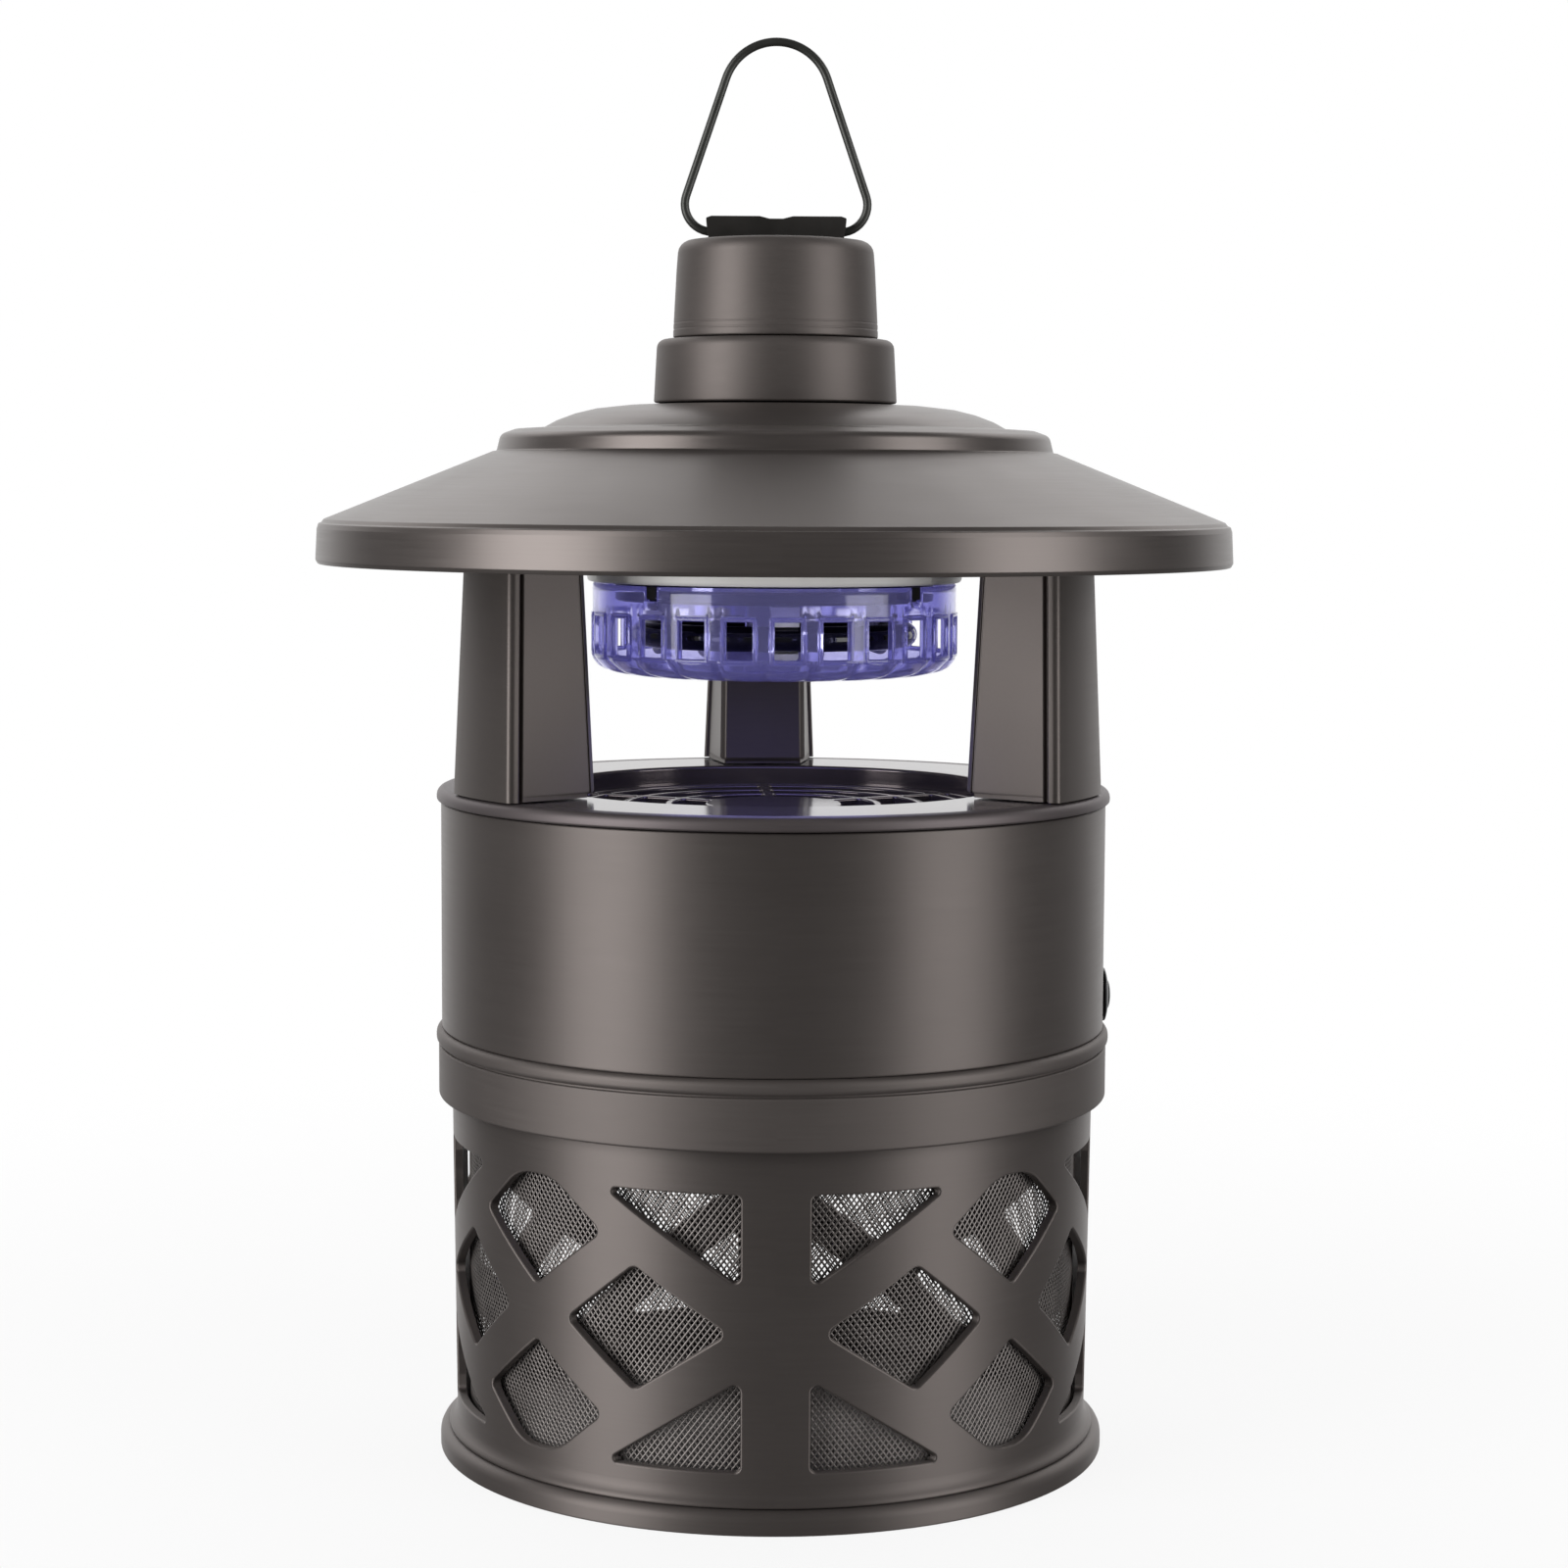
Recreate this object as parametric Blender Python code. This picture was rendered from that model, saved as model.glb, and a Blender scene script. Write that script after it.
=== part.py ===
"""Lantern-shaped outdoor insect trap with an ultraviolet lamp and a suction fan.

Every separate piece is one object. All sizes below are in millimetres and are
turned into metres where a mesh is made. Up is +Z, the front is -Y, and z = 0 is
the surface that the trap stands on. An azimuth is counted in degrees from the
front towards +X.
"""
import math

import bmesh
import bpy
from mathutils import Matrix, Vector

MILLIMETRE = 0.001
GAP = 0.3               # clearance between pieces that touch on the real object
RUN_GAP = 0.6           # clearance between round pieces that turn or slide
WALL = 2.0              # moulded wall thickness
ROUND = 32              # facets around a large round piece
SMALL_ROUND = 16        # facets around a small round piece
HEAD_TURN = 2.1         # how far the head has settled past the cage's seam, degrees

# Cage that holds the catch
BASE_RADIUS = 75.0
BASE_HEIGHT = 5.0
CAGE_FOOT_RADIUS = 71.2
CAGE_TOP_RADIUS = 72.1
CAGE_TOP = 84.7
WINDOW_MIDDLE = 41.6    # height of the lattice's middle line
WINDOW_HALF = 29.3      # half the height of the lattice's window zone
LATTICE_RADIUS = 71.7   # radius at which the lattice is laid out
PANELS = 4

# Locking collar
COLLAR_BOTTOM = 80.3
COLLAR_TOP = 95.5
COLLAR_RADIUS = 75.05
COLLAR_BEAD_RADIUS = 75.55
COLLAR_BORE = 73.0
LEDGE_BOTTOM = CAGE_TOP + GAP
LEDGE_TOP = LEDGE_BOTTOM + 1.5
LEDGE_RADIUS = 70.8
LUG_WIDTH = 14.0        # degrees
LUG_BOTTOM = 89.0
LUG_TOP = 91.5
LUG_CLEARANCE = 1.2     # degrees
TWIST = 20.0            # degrees from locked to free
LUG_AZIMUTHS = (30.0, 150.0, 270.0)

# Fan housing
SHELL_RADIUS = 74.35
SHELL_BOTTOM = COLLAR_TOP + GAP
SHELL_TOP = 146.0
SPIGOT_RADIUS = COLLAR_BORE - RUN_GAP
SPIGOT_BOTTOM = LEDGE_TOP + 0.5
DECK_RADIUS = 75.3
DECK_TOP = 149.2
DECK_FLOOR = 145.1
DECK_UNDERSIDE = 142.9
THROAT_RADIUS = 50.0
DUCT_RADIUS = 48.6      # inside radius of the fan's duct
DUCT_BOTTOM = 106.0
BOSS_CIRCLE = 56.0      # where the duct's screws stand
FAN_RADIUS = 45.0       # at the middle of a blade's tip
FAN_BOTTOM = 124.0
FAN_TOP = 138.0
MOTOR_RADIUS = 21.0
MOTOR_BOTTOM = 104.0
MOTOR_TOP = 120.0
SHAFT_RADIUS = 1.5

# Posts and roof
POST_AZIMUTHS = {"post_front_right": 61.2, "post_back": 180.0, "post_front_left": 298.8}
POST_FOOT_RADIUS = 74.7
POST_HEAD_RADIUS = 72.8
POST_FOOT_INNER = 50.6
POST_HEAD_INNER = 53.1
POST_FOOT_HALF = 13.4   # half the width of the outer plate
POST_HEAD_HALF = 11.3
POST_BOTTOM = DECK_TOP + GAP
ROOF_RADIUS = 101.6
ROOF_BOTTOM = 198.7
ROOF_TOP = 234.0
ROOF_SLOPE = 0.402      # drop of the cone for each millimetre outwards
LINER_BOTTOM = 200.0
LINER_TOP = 201.6
POST_TOP = LINER_BOTTOM - GAP
CHANNEL_RADIUS = 58.5   # where the wiring channel runs up inside a post
CHANNEL_HOLE = 2.6      # radius of the holes that carry the wiring on
SCREW_CIRCLE = 66.0     # where the posts' screws stand
SCREW_HOLE = 1.7        # radius of every clearance hole for a screw

# Lamp
LAMP_PLATE_RADIUS = 41.8
LAMP_PLATE_BOTTOM = 194.8
LAMP_HOLDER_BOTTOM = 190.6
GUARD_TOP = 194.5
GUARD_RADIUS = 41.0
GUARD_BAND_RADIUS = 40.6
GUARD_BOTTOM = 174.0
GUARD_WINDOWS = 24
GUARD_TURN = 3.4        # how far the guard has settled past the cage's seam, degrees
LAMP_HEIGHT = 183.2
LAMP_RING_RADIUS = 29.2
LAMP_TUBE_RADIUS = 2.9
LAMP_CLIP_AZIMUTHS = (3.4, 123.4, 243.4)    # clear of the lamp's base at the back
KEY_AZIMUTHS = (45.0, 135.0, 225.0, 315.0)

# Neck, cap and hanging loop
NECK_RADIUS = 27.0
NECK_TOP = 248.3
CAP_RADIUS = 22.7
CAP_TOP = 270.0
BRACKET_HALF = 15.5
BRACKET_TOP = 275.2
PIVOT_HEIGHT = 272.0
WIRE_RADIUS = 0.95
LOOP_TOP = 313.45       # height of the wire's centre line at the top of the loop
LOOP_ARCH_RADIUS = 11.8
LOOP_CORNER_RADIUS = 6.0
LOOP_CORNER_X = 14.2

# Switch and power inlet
SWITCH_HEIGHT = 101.8
SWITCH_BEZEL_RADIUS = 6.0
SWITCH_BARREL_RADIUS = 4.7
SWITCH_FACE = 75.5      # how far out the bezel's face stands
BUTTON_RADIUS = 3.4
BUTTON_TRAVEL = 1.5
SWITCH_BACK = 61.8      # how far out the housing's inner end stands
INLET_HEIGHT = 106.0
INLET_RADIUS = 5.2
INLET_BACK = 63.0
LEAD_RADIUS = 1.3


# ---------------------------------------------------------------- materials

def material(name, colour, roughness, metallic=0.0):
    """A plain Principled material."""
    made = bpy.data.materials.new(name)
    made.use_nodes = True
    shader = made.node_tree.nodes["Principled BSDF"]
    shader.inputs["Base Color"].default_value = (*colour, 1.0)
    shader.inputs["Roughness"].default_value = roughness
    shader.inputs["Metallic"].default_value = metallic
    made.diffuse_color = (*colour, 1.0)
    return made


def make_materials():
    return {
        "bronze": material("bronze_plastic", (0.10, 0.088, 0.080), 0.38, 0.35),
        "black": material("black_plastic", (0.012, 0.012, 0.013), 0.35),
        "dark": material("dark_steel", (0.045, 0.042, 0.040), 0.42, 0.8),
        "mesh": material("screen_mesh", (0.06, 0.055, 0.05), 0.5, 0.6),
        "violet": material("violet_plastic", (0.09, 0.08, 0.42), 0.12),
        "white": material("white_plastic", (0.80, 0.79, 0.77), 0.45),
        "glass": material("lamp_glass", (0.01, 0.01, 0.03), 0.08),
        "steel": material("steel", (0.55, 0.55, 0.54), 0.3, 1.0),
        "brass": material("bronze_bush", (0.55, 0.38, 0.18), 0.35, 1.0),
        "copper": material("copper_winding", (0.55, 0.25, 0.10), 0.4, 0.9),
        "board": material("circuit_board", (0.03, 0.16, 0.06), 0.5),
        "rubber": material("seal_rubber", (0.02, 0.02, 0.02), 0.8),
        "lead": material("lead_insulation", (0.03, 0.03, 0.035), 0.5),
    }


# ------------------------------------------------------------ shape helpers

def polar(radius, azimuth, height):
    """A point by its distance from the axis, its azimuth and its height."""
    angle = math.radians(azimuth)
    return Vector((radius * math.sin(angle), -radius * math.cos(angle), height))


def rounded(outline, steps=3):
    """A closed outline whose corners given as (a, b, radius) become arcs."""
    points = []
    count = len(outline)
    for index, corner in enumerate(outline):
        here = Vector(corner[:2])
        if len(corner) == 2:
            points.append(corner)
            continue
        to_last = (Vector(outline[index - 1][:2]) - here).normalized()
        to_next = (Vector(outline[(index + 1) % count][:2]) - here).normalized()
        half = to_last.angle(to_next) / 2
        centre = here + (to_last + to_next).normalized() * (corner[2] / math.sin(half))
        start = here + to_last * (corner[2] / math.tan(half)) - centre
        end = here + to_next * (corner[2] / math.tan(half)) - centre
        sweep = math.pi - 2 * half
        for step in range(steps + 1):
            part = step / steps
            weight_start = math.sin((1 - part) * sweep) / math.sin(sweep)
            weight_end = math.sin(part * sweep) / math.sin(sweep)
            points.append(tuple(centre + start * weight_start + end * weight_end))
    return points


def finish_mesh(name, build):
    """A mesh in metres from a bmesh in millimetres, with its faces turned out."""
    bmesh.ops.recalc_face_normals(build, faces=build.faces)
    mesh = bpy.data.meshes.new(name)
    build.to_mesh(mesh)
    build.free()
    mesh.transform(Matrix.Scale(MILLIMETRE, 4))
    return mesh


def lathe_mesh(name, outline, facets=ROUND):
    """An outline of (radius, height) points turned about +Z.

    An outline whose ends lie on the axis makes a solid piece. Any other outline
    is a closed loop, and makes a ring.
    """
    build = bmesh.new()
    rings = []
    for radius, height in outline:
        if radius == 0:
            rings.append([build.verts.new((0, 0, height))] * facets)
            continue
        rings.append([build.verts.new(polar(radius, 360 * step / facets, height))
                      for step in range(facets)])
    pairs = list(zip(rings, rings[1:]))
    if outline[0][0] > 0:
        pairs.append((rings[-1], rings[0]))
    for near, far in pairs:
        for step in range(facets):
            after = (step + 1) % facets
            corners = [near[step], near[after], far[after], far[step]]
            build.faces.new(list(dict.fromkeys(corners)))
    return finish_mesh(name, build)


def loft_mesh(name, sections):
    """A solid between matching closed sections of 3-D points."""
    build = bmesh.new()
    add_loft(build, sections)
    return finish_mesh(name, build)


def add_loft(build, sections):
    rings = [[build.verts.new(point) for point in section] for section in sections]
    count = len(rings[0])
    for near, far in zip(rings, rings[1:]):
        for index in range(count):
            after = (index + 1) % count
            build.faces.new((near[index], near[after], far[after], far[index]))
    build.faces.new(rings[0])
    build.faces.new(list(reversed(rings[-1])))


def blocks_mesh(name, groups):
    """Several solids in one mesh, each given as its lofted sections."""
    build = bmesh.new()
    for sections in groups:
        add_loft(build, sections)
    return finish_mesh(name, build)


def box_sections(low, high):
    """The two sections of a box between two corners."""
    corners = [(low[0], low[1]), (high[0], low[1]), (high[0], high[1]), (low[0], high[1])]
    return [[Vector((x, y, z)) for x, y in corners] for z in (low[2], high[2])]


def turned(sections, azimuth):
    """Sections drawn in a frame whose +X points outwards, turned to an azimuth."""
    turn = Matrix.Rotation(math.radians(azimuth - 90), 3, "Z")
    return [[turn @ Vector(point) for point in section] for section in sections]


def disc_sections(radius, low, high, centre=(0, 0), facets=SMALL_ROUND):
    """The two sections of an upright round bar."""
    ring = [(centre[0] + radius * math.cos(2 * math.pi * step / facets),
             centre[1] + radius * math.sin(2 * math.pi * step / facets))
            for step in range(facets)]
    return [[Vector((x, y, z)) for x, y in ring] for z in (low, high)]


def sector_sections(inner, outer, middle, width, low, high, steps=4):
    """The two sections of a curved block: an arc of a flat ring."""
    azimuths = [middle + width * (step / steps - 0.5) for step in range(steps + 1)]
    points = [polar(outer, azimuth, 0) for azimuth in azimuths]
    points += [polar(inner, azimuth, 0) for azimuth in reversed(azimuths)]
    return [[Vector((p.x, p.y, z)) for p in points] for z in (low, high)]


def window_sections(outline, azimuth, inner, outer, laid_at):
    """A radial cutter from an outline of (length along the wall, height)."""
    return [[polar(radius, azimuth + math.degrees(along / laid_at), height)
             for along, height in outline] for radius in (inner, outer)]


def lay_along_x(mesh, height, turn=0.0):
    """Lay a piece turned about +Z down so that it points out along +X."""
    aim = Matrix.Rotation(math.radians(turn), 4, "Z")
    lift = Matrix.Translation((0, 0, height * MILLIMETRE))
    mesh.transform(lift @ aim @ Matrix.Rotation(math.pi / 2, 4, "Y"))
    return mesh


# --------------------------------------------------------- object helpers

class Assembly:
    """Puts meshes into the scene as named pieces on named bodies."""

    def __init__(self):
        self.materials = make_materials()
        self.bodies = {}

    def body(self, name, origin, parent=None):
        empty = bpy.data.objects.new(name, None)
        bpy.context.collection.objects.link(empty)
        place = Vector(origin) * MILLIMETRE
        if parent:
            empty.parent = self.bodies[parent][0]
            empty.location = place - self.bodies[parent][1]
        else:
            empty.location = place
        self.bodies[name] = (empty, place)

    def piece(self, name, mesh, material_name, body):
        empty, place = self.bodies[body]
        mesh.name = name
        mesh.transform(Matrix.Translation(-place))
        mesh.materials.append(self.materials[material_name])
        made = bpy.data.objects.new(name, mesh)
        bpy.context.collection.objects.link(made)
        made.parent = empty
        mesh.shade_smooth()
        mesh.set_sharp_from_angle(angle=math.radians(35))
        return made

    def tool(self, name, mesh):
        """A helper solid for a Boolean, left out of the finished object."""
        made = bpy.data.objects.new(name, mesh)
        bpy.context.collection.objects.link(made)
        made.hide_render = True
        made.display_type = "WIRE"
        return made

    def combine(self, target, operation, name, mesh):
        step = target.modifiers.new(name, "BOOLEAN")
        step.operation = operation
        step.solver = "EXACT"
        step.object = self.tool(name, mesh)

    def cut(self, target, name, mesh):
        self.combine(target, "DIFFERENCE", name, mesh)

    def add(self, target, name, mesh):
        self.combine(target, "UNION", name, mesh)

    def tube(self, name, points, radius, material_name, body, sides_step=2):
        """A wire or lead: a round tube along a list of points."""
        empty, place = self.bodies[body]
        curve = bpy.data.curves.new(name, "CURVE")
        curve.dimensions = "3D"
        curve.bevel_depth = radius * MILLIMETRE
        curve.bevel_resolution = sides_step
        curve.use_fill_caps = True
        spline = curve.splines.new("POLY")
        spline.points.add(len(points) - 1)
        for point, target in zip(points, spline.points):
            target.co = (*(Vector(point) * MILLIMETRE - place), 1.0)
        curve.materials.append(self.materials[material_name])
        made = bpy.data.objects.new(name, curve)
        bpy.context.collection.objects.link(made)
        made.parent = empty
        return made

    def screw(self, name, head, tip, azimuth, circle, head_radius=2.6, shank_radius=1.4):
        """A pan-head screw standing on a circle, from its head's end to its tip."""
        up = 1 if tip > head else -1
        neck = head + up * 1.8
        outline = [(0, head), (head_radius - 0.4, head), (head_radius, neck - up * 1.2),
                   (head_radius, neck), (shank_radius, neck), (shank_radius, tip), (0, tip)]
        mesh = lathe_mesh(name, outline, 10)
        spot = polar(circle, azimuth, 0) * MILLIMETRE
        mesh.transform(Matrix.Translation(spot))
        return self.piece(name, mesh, "steel", "head")


def smooth_route(points, steps):
    """Points along a smooth curve through the given ones."""
    route = [Vector(point) for point in points]
    route = [2 * route[0] - route[1]] + route + [2 * route[-1] - route[-2]]
    made = []
    for index in range(1, len(route) - 2):
        before, start, end, after = route[index - 1:index + 3]
        for step in range(steps):
            t = step / steps
            made.append(0.5 * (2 * start + (end - before) * t
                               + (2 * before - 5 * start + 4 * end - after) * t ** 2
                               + (3 * start - before - 3 * end + after) * t ** 3))
    made.append(route[-2])
    return made


# ------------------------------------------------------------------- cage

def lattice_windows():
    """Every window outline, as (azimuth of its panel's middle, outline)."""
    half_panel = math.pi * LATTICE_RADIUS / PANELS
    post_side = -half_panel + 7.4
    triangle = [(post_side, 9.8, 1.2), (post_side, WINDOW_HALF, 1.2), (-18.7, WINDOW_HALF, 0.8)]
    side_diamond = [(-46.3, 0, 1.4), (-25.9, 13.2, 1.4), (-9.0, 0, 1.4), (-25.9, -13.2, 1.4)]
    middle_diamond = [(-18.0, 19.5, 1.4), (0, 6.0, 1.2), (18.0, 19.5, 1.4),
                      (5.3, WINDOW_HALF, 3.5), (-5.3, WINDOW_HALF, 3.5)]
    shapes = [middle_diamond, flipped(middle_diamond, 1, -1)]
    shapes += [side_diamond, flipped(side_diamond, -1, 1)]
    shapes += [flipped(triangle, across, up) for across in (1, -1) for up in (1, -1)]
    for panel in range(PANELS):
        azimuth = 360 / PANELS * (panel + 0.5)
        for shape in shapes:
            raised = [(along, height + WINDOW_MIDDLE)
                      for along, height in rounded(shape, steps=1)]
            yield azimuth, raised


def flipped(outline, across, up):
    return [(corner[0] * across, corner[1] * up, *corner[2:]) for corner in outline]


def make_cage(kit):
    outline = [(CAGE_FOOT_RADIUS - WALL, BASE_HEIGHT - 1.5),
               (CAGE_FOOT_RADIUS - 0.1, BASE_HEIGHT - 1.5),
               (CAGE_FOOT_RADIUS - 0.1, BASE_HEIGHT + GAP),
               (CAGE_FOOT_RADIUS + 1.8, BASE_HEIGHT + GAP),
               (CAGE_FOOT_RADIUS + 1.7, BASE_HEIGHT + 0.9),
               (CAGE_FOOT_RADIUS + 0.5, BASE_HEIGHT + 2.0),
               (CAGE_FOOT_RADIUS, BASE_HEIGHT + 4.0),
               (CAGE_TOP_RADIUS, CAGE_TOP),
               (CAGE_TOP_RADIUS - WALL, CAGE_TOP)]
    shell = kit.piece("cage_shell", lathe_mesh("cage_shell", outline), "bronze", "cage")
    windows = [window_sections(window, azimuth, CAGE_FOOT_RADIUS - 5, CAGE_TOP_RADIUS + 3,
                               LATTICE_RADIUS)
               for azimuth, window in lattice_windows()]
    kit.cut(shell, "cage_windows", blocks_mesh("cage_windows", windows))

    mesh_outer = CAGE_FOOT_RADIUS - WALL - GAP
    mesh_top = WINDOW_MIDDLE + WINDOW_HALF + 6
    mesh_bottom = BASE_HEIGHT - 1.5
    outline = [(mesh_outer, mesh_top), (mesh_outer, mesh_bottom),
               (mesh_outer - 0.7, mesh_bottom), (mesh_outer - 0.7, mesh_top)]
    kit.piece("cage_mesh", lathe_mesh("cage_mesh", outline), "mesh", "cage")

    floor_top = BASE_HEIGHT - 1.5 - GAP
    outline = rounded([(0, floor_top), (CAGE_FOOT_RADIUS + 0.3, floor_top),
                       (CAGE_FOOT_RADIUS + 0.3, BASE_HEIGHT), (BASE_RADIUS, BASE_HEIGHT, 2.0),
                       (BASE_RADIUS, 0), (70.5, 0), (70.5, floor_top - 1.6),
                       (0, floor_top - 1.6)])
    kit.piece("base_tray", lathe_mesh("base_tray", outline), "bronze", "cage")


# ----------------------------------------------------------------- collar

def make_collar(kit):
    bead = COLLAR_BEAD_RADIUS
    outline = rounded([(COLLAR_RADIUS, COLLAR_BOTTOM), (COLLAR_RADIUS, 90.6),
                       (COLLAR_RADIUS - 0.3, 90.9), (COLLAR_RADIUS - 0.3, 91.3),
                       (bead, 91.6), (bead, COLLAR_TOP, 0.9), (COLLAR_BORE, COLLAR_TOP),
                       (COLLAR_BORE, LEDGE_TOP), (LEDGE_RADIUS, LEDGE_TOP),
                       (LEDGE_RADIUS, LEDGE_BOTTOM), (COLLAR_BORE, LEDGE_BOTTOM),
                       (COLLAR_BORE, COLLAR_BOTTOM)], steps=1)
    ring = kit.piece("locking_collar", lathe_mesh("locking_collar", outline), "bronze", "collar")
    lugs = [sector_sections(LEDGE_RADIUS + 0.1, COLLAR_BORE + 1, azimuth, LUG_WIDTH,
                            LUG_BOTTOM, LUG_TOP) for azimuth in LUG_AZIMUTHS]
    kit.add(ring, "collar_lugs", blocks_mesh("collar_lugs", lugs))


# ---------------------------------------------------------------- housing

def bayonet_slots():
    """Cutters for the L-shaped slots that the collar's lugs turn in."""
    cutters = []
    inner, outer = SPIGOT_RADIUS - WALL - 1, SPIGOT_RADIUS + 0.4
    reach = LUG_WIDTH + 2 * LUG_CLEARANCE
    for azimuth in LUG_AZIMUTHS:
        run = reach + TWIST
        cutters.append(sector_sections(inner, outer, azimuth - TWIST / 2, run,
                                       LUG_BOTTOM - 0.5, LUG_TOP + 0.5, steps=8))
    entries = [sector_sections(inner, outer, azimuth - TWIST, reach,
                               SPIGOT_BOTTOM - 1, LUG_TOP + 0.4) for azimuth in LUG_AZIMUTHS]
    return cutters, entries


def make_shell(kit):
    inside = SHELL_RADIUS - WALL - 0.2
    bore = SPIGOT_RADIUS - WALL
    outline = [(SHELL_RADIUS, SHELL_TOP), (SHELL_RADIUS, SHELL_BOTTOM + 0.4),
               (SHELL_RADIUS - 0.4, SHELL_BOTTOM), (SPIGOT_RADIUS, SHELL_BOTTOM),
               (SPIGOT_RADIUS, SPIGOT_BOTTOM), (bore, SPIGOT_BOTTOM),
               (bore, SHELL_BOTTOM - 2.6), (bore + 0.6, SHELL_BOTTOM - 1.2),
               (inside, SHELL_BOTTOM + 1.2), (inside, SHELL_TOP)]
    shell = kit.piece("body_shell", lathe_mesh("body_shell", outline), "bronze", "head")
    cutters, entries = bayonet_slots()
    kit.cut(shell, "slot_runs", blocks_mesh("slot_runs", cutters))
    kit.cut(shell, "slot_entries", blocks_mesh("slot_entries", entries))
    hole = blocks_mesh("switch_hole", [disc_sections(SWITCH_BARREL_RADIUS + GAP, 60, 90)])
    kit.cut(shell, "switch_hole", lay_along_x(hole, SWITCH_HEIGHT))
    hole = blocks_mesh("inlet_hole", [disc_sections(INLET_RADIUS + GAP, 60, 90)])
    kit.cut(shell, "inlet_hole", lay_along_x(hole, INLET_HEIGHT, 90))


def boss_azimuths():
    return [HEAD_TURN + 120 * index for index in range(3)]


def make_deck(kit):
    locating = SHELL_RADIUS - WALL - 0.2 - GAP
    outline = rounded([(DECK_RADIUS, SHELL_TOP + GAP, 0.5), (DECK_RADIUS, DECK_TOP, 1.7),
                       (THROAT_RADIUS, DECK_TOP, 0.6),
                       (THROAT_RADIUS, DECK_UNDERSIDE), (locating - WALL, DECK_UNDERSIDE),
                       (locating - WALL, DECK_UNDERSIDE - 3), (locating, DECK_UNDERSIDE - 3),
                       (locating, SHELL_TOP + GAP)], steps=1)
    deck = kit.piece("deck_ring", lathe_mesh("deck_ring", outline), "bronze", "head")
    bosses = []
    holes = []
    for azimuth in boss_azimuths():
        spot = polar(BOSS_CIRCLE, azimuth, 0)
        bosses.append(disc_sections(3.2, 137, DECK_UNDERSIDE + 1, spot.xy, 12))
        holes.append(disc_sections(SCREW_HOLE, 136, DECK_UNDERSIDE + 0.8, spot.xy, 12))
    for azimuth in POST_AZIMUTHS.values():
        spot = polar(SCREW_CIRCLE, azimuth + HEAD_TURN, 0)
        holes.append(disc_sections(SCREW_HOLE, 140, 151, spot.xy, 12))
    spot = polar(CHANNEL_RADIUS, 180 + HEAD_TURN, 0)
    holes.append(disc_sections(CHANNEL_HOLE, 140, 151, spot.xy, 12))
    kit.add(deck, "deck_bosses", blocks_mesh("deck_bosses", bosses))
    kit.cut(deck, "deck_holes", blocks_mesh("deck_holes", holes))
    for index, azimuth in enumerate(boss_azimuths(), 1):
        kit.screw(f"duct_screw_{index}", 132.4, 143.0, azimuth, BOSS_CIRCLE)


def make_fan_guard(kit):
    """The grille over the fan: flat rings joined by spokes."""
    low, high = DECK_UNDERSIDE, DECK_FLOOR
    outer = THROAT_RADIUS - GAP
    disc = loft_mesh("fan_guard", disc_sections(outer, low, high, facets=ROUND))
    guard = kit.piece("fan_guard", disc, "bronze", "head")
    rings = [14.5, 23.5, 33.5, 43.6, outer]
    bar = 1.5
    spokes = 6
    slots = []
    for inner, further in zip(rings, rings[1:]):
        start, end = inner + bar / 2, further - bar / 2
        if further == outer:
            end = outer - 2.4
        width = 360 / spokes - math.degrees(2.0 / start)
        slots += [sector_sections(start, end, HEAD_TURN + 30 + 360 / spokes * index, width,
                                  low - 1, high + 1, steps=4)
                  for index in range(spokes)]
    kit.cut(guard, "guard_slots", blocks_mesh("guard_slots", slots))


def make_duct(kit):
    outer = DUCT_RADIUS + WALL - 0.2
    top = DECK_UNDERSIDE - GAP
    outline = [(outer, top), (outer, DUCT_BOTTOM), (DUCT_RADIUS, DUCT_BOTTOM), (DUCT_RADIUS, top)]
    duct = kit.piece("fan_duct", lathe_mesh("fan_duct", outline, 28), "black", "head")
    struts = [turned(box_sections((MOTOR_RADIUS + 1.4, -2, 103), (DUCT_RADIUS + 0.9, 2, 112)),
                     azimuth) for azimuth in (45, 165, 285)]
    kit.add(duct, "duct_struts", blocks_mesh("duct_struts", struts))
    cup = MOTOR_RADIUS + GAP
    outline = [(7.0, MOTOR_BOTTOM - GAP), (cup, MOTOR_BOTTOM - GAP), (cup, 113),
               (cup + WALL, 113), (cup + WALL, 101.7), (7.0, 101.7)]
    kit.add(duct, "motor_cup", lathe_mesh("motor_cup", outline, 20))
    ears = []
    holes = []
    for azimuth in boss_azimuths():
        ears.append(turned(box_sections((outer - 1, -4, 134.6), (BOSS_CIRCLE + 4, 4, 136.6)),
                           azimuth))
        spot = polar(BOSS_CIRCLE, azimuth, 0)
        holes.append(disc_sections(1.8, 133, 138, spot.xy, 12))
    kit.add(duct, "duct_ears", blocks_mesh("duct_ears", ears))
    kit.cut(duct, "duct_ear_holes", blocks_mesh("duct_ear_holes", holes))


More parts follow.
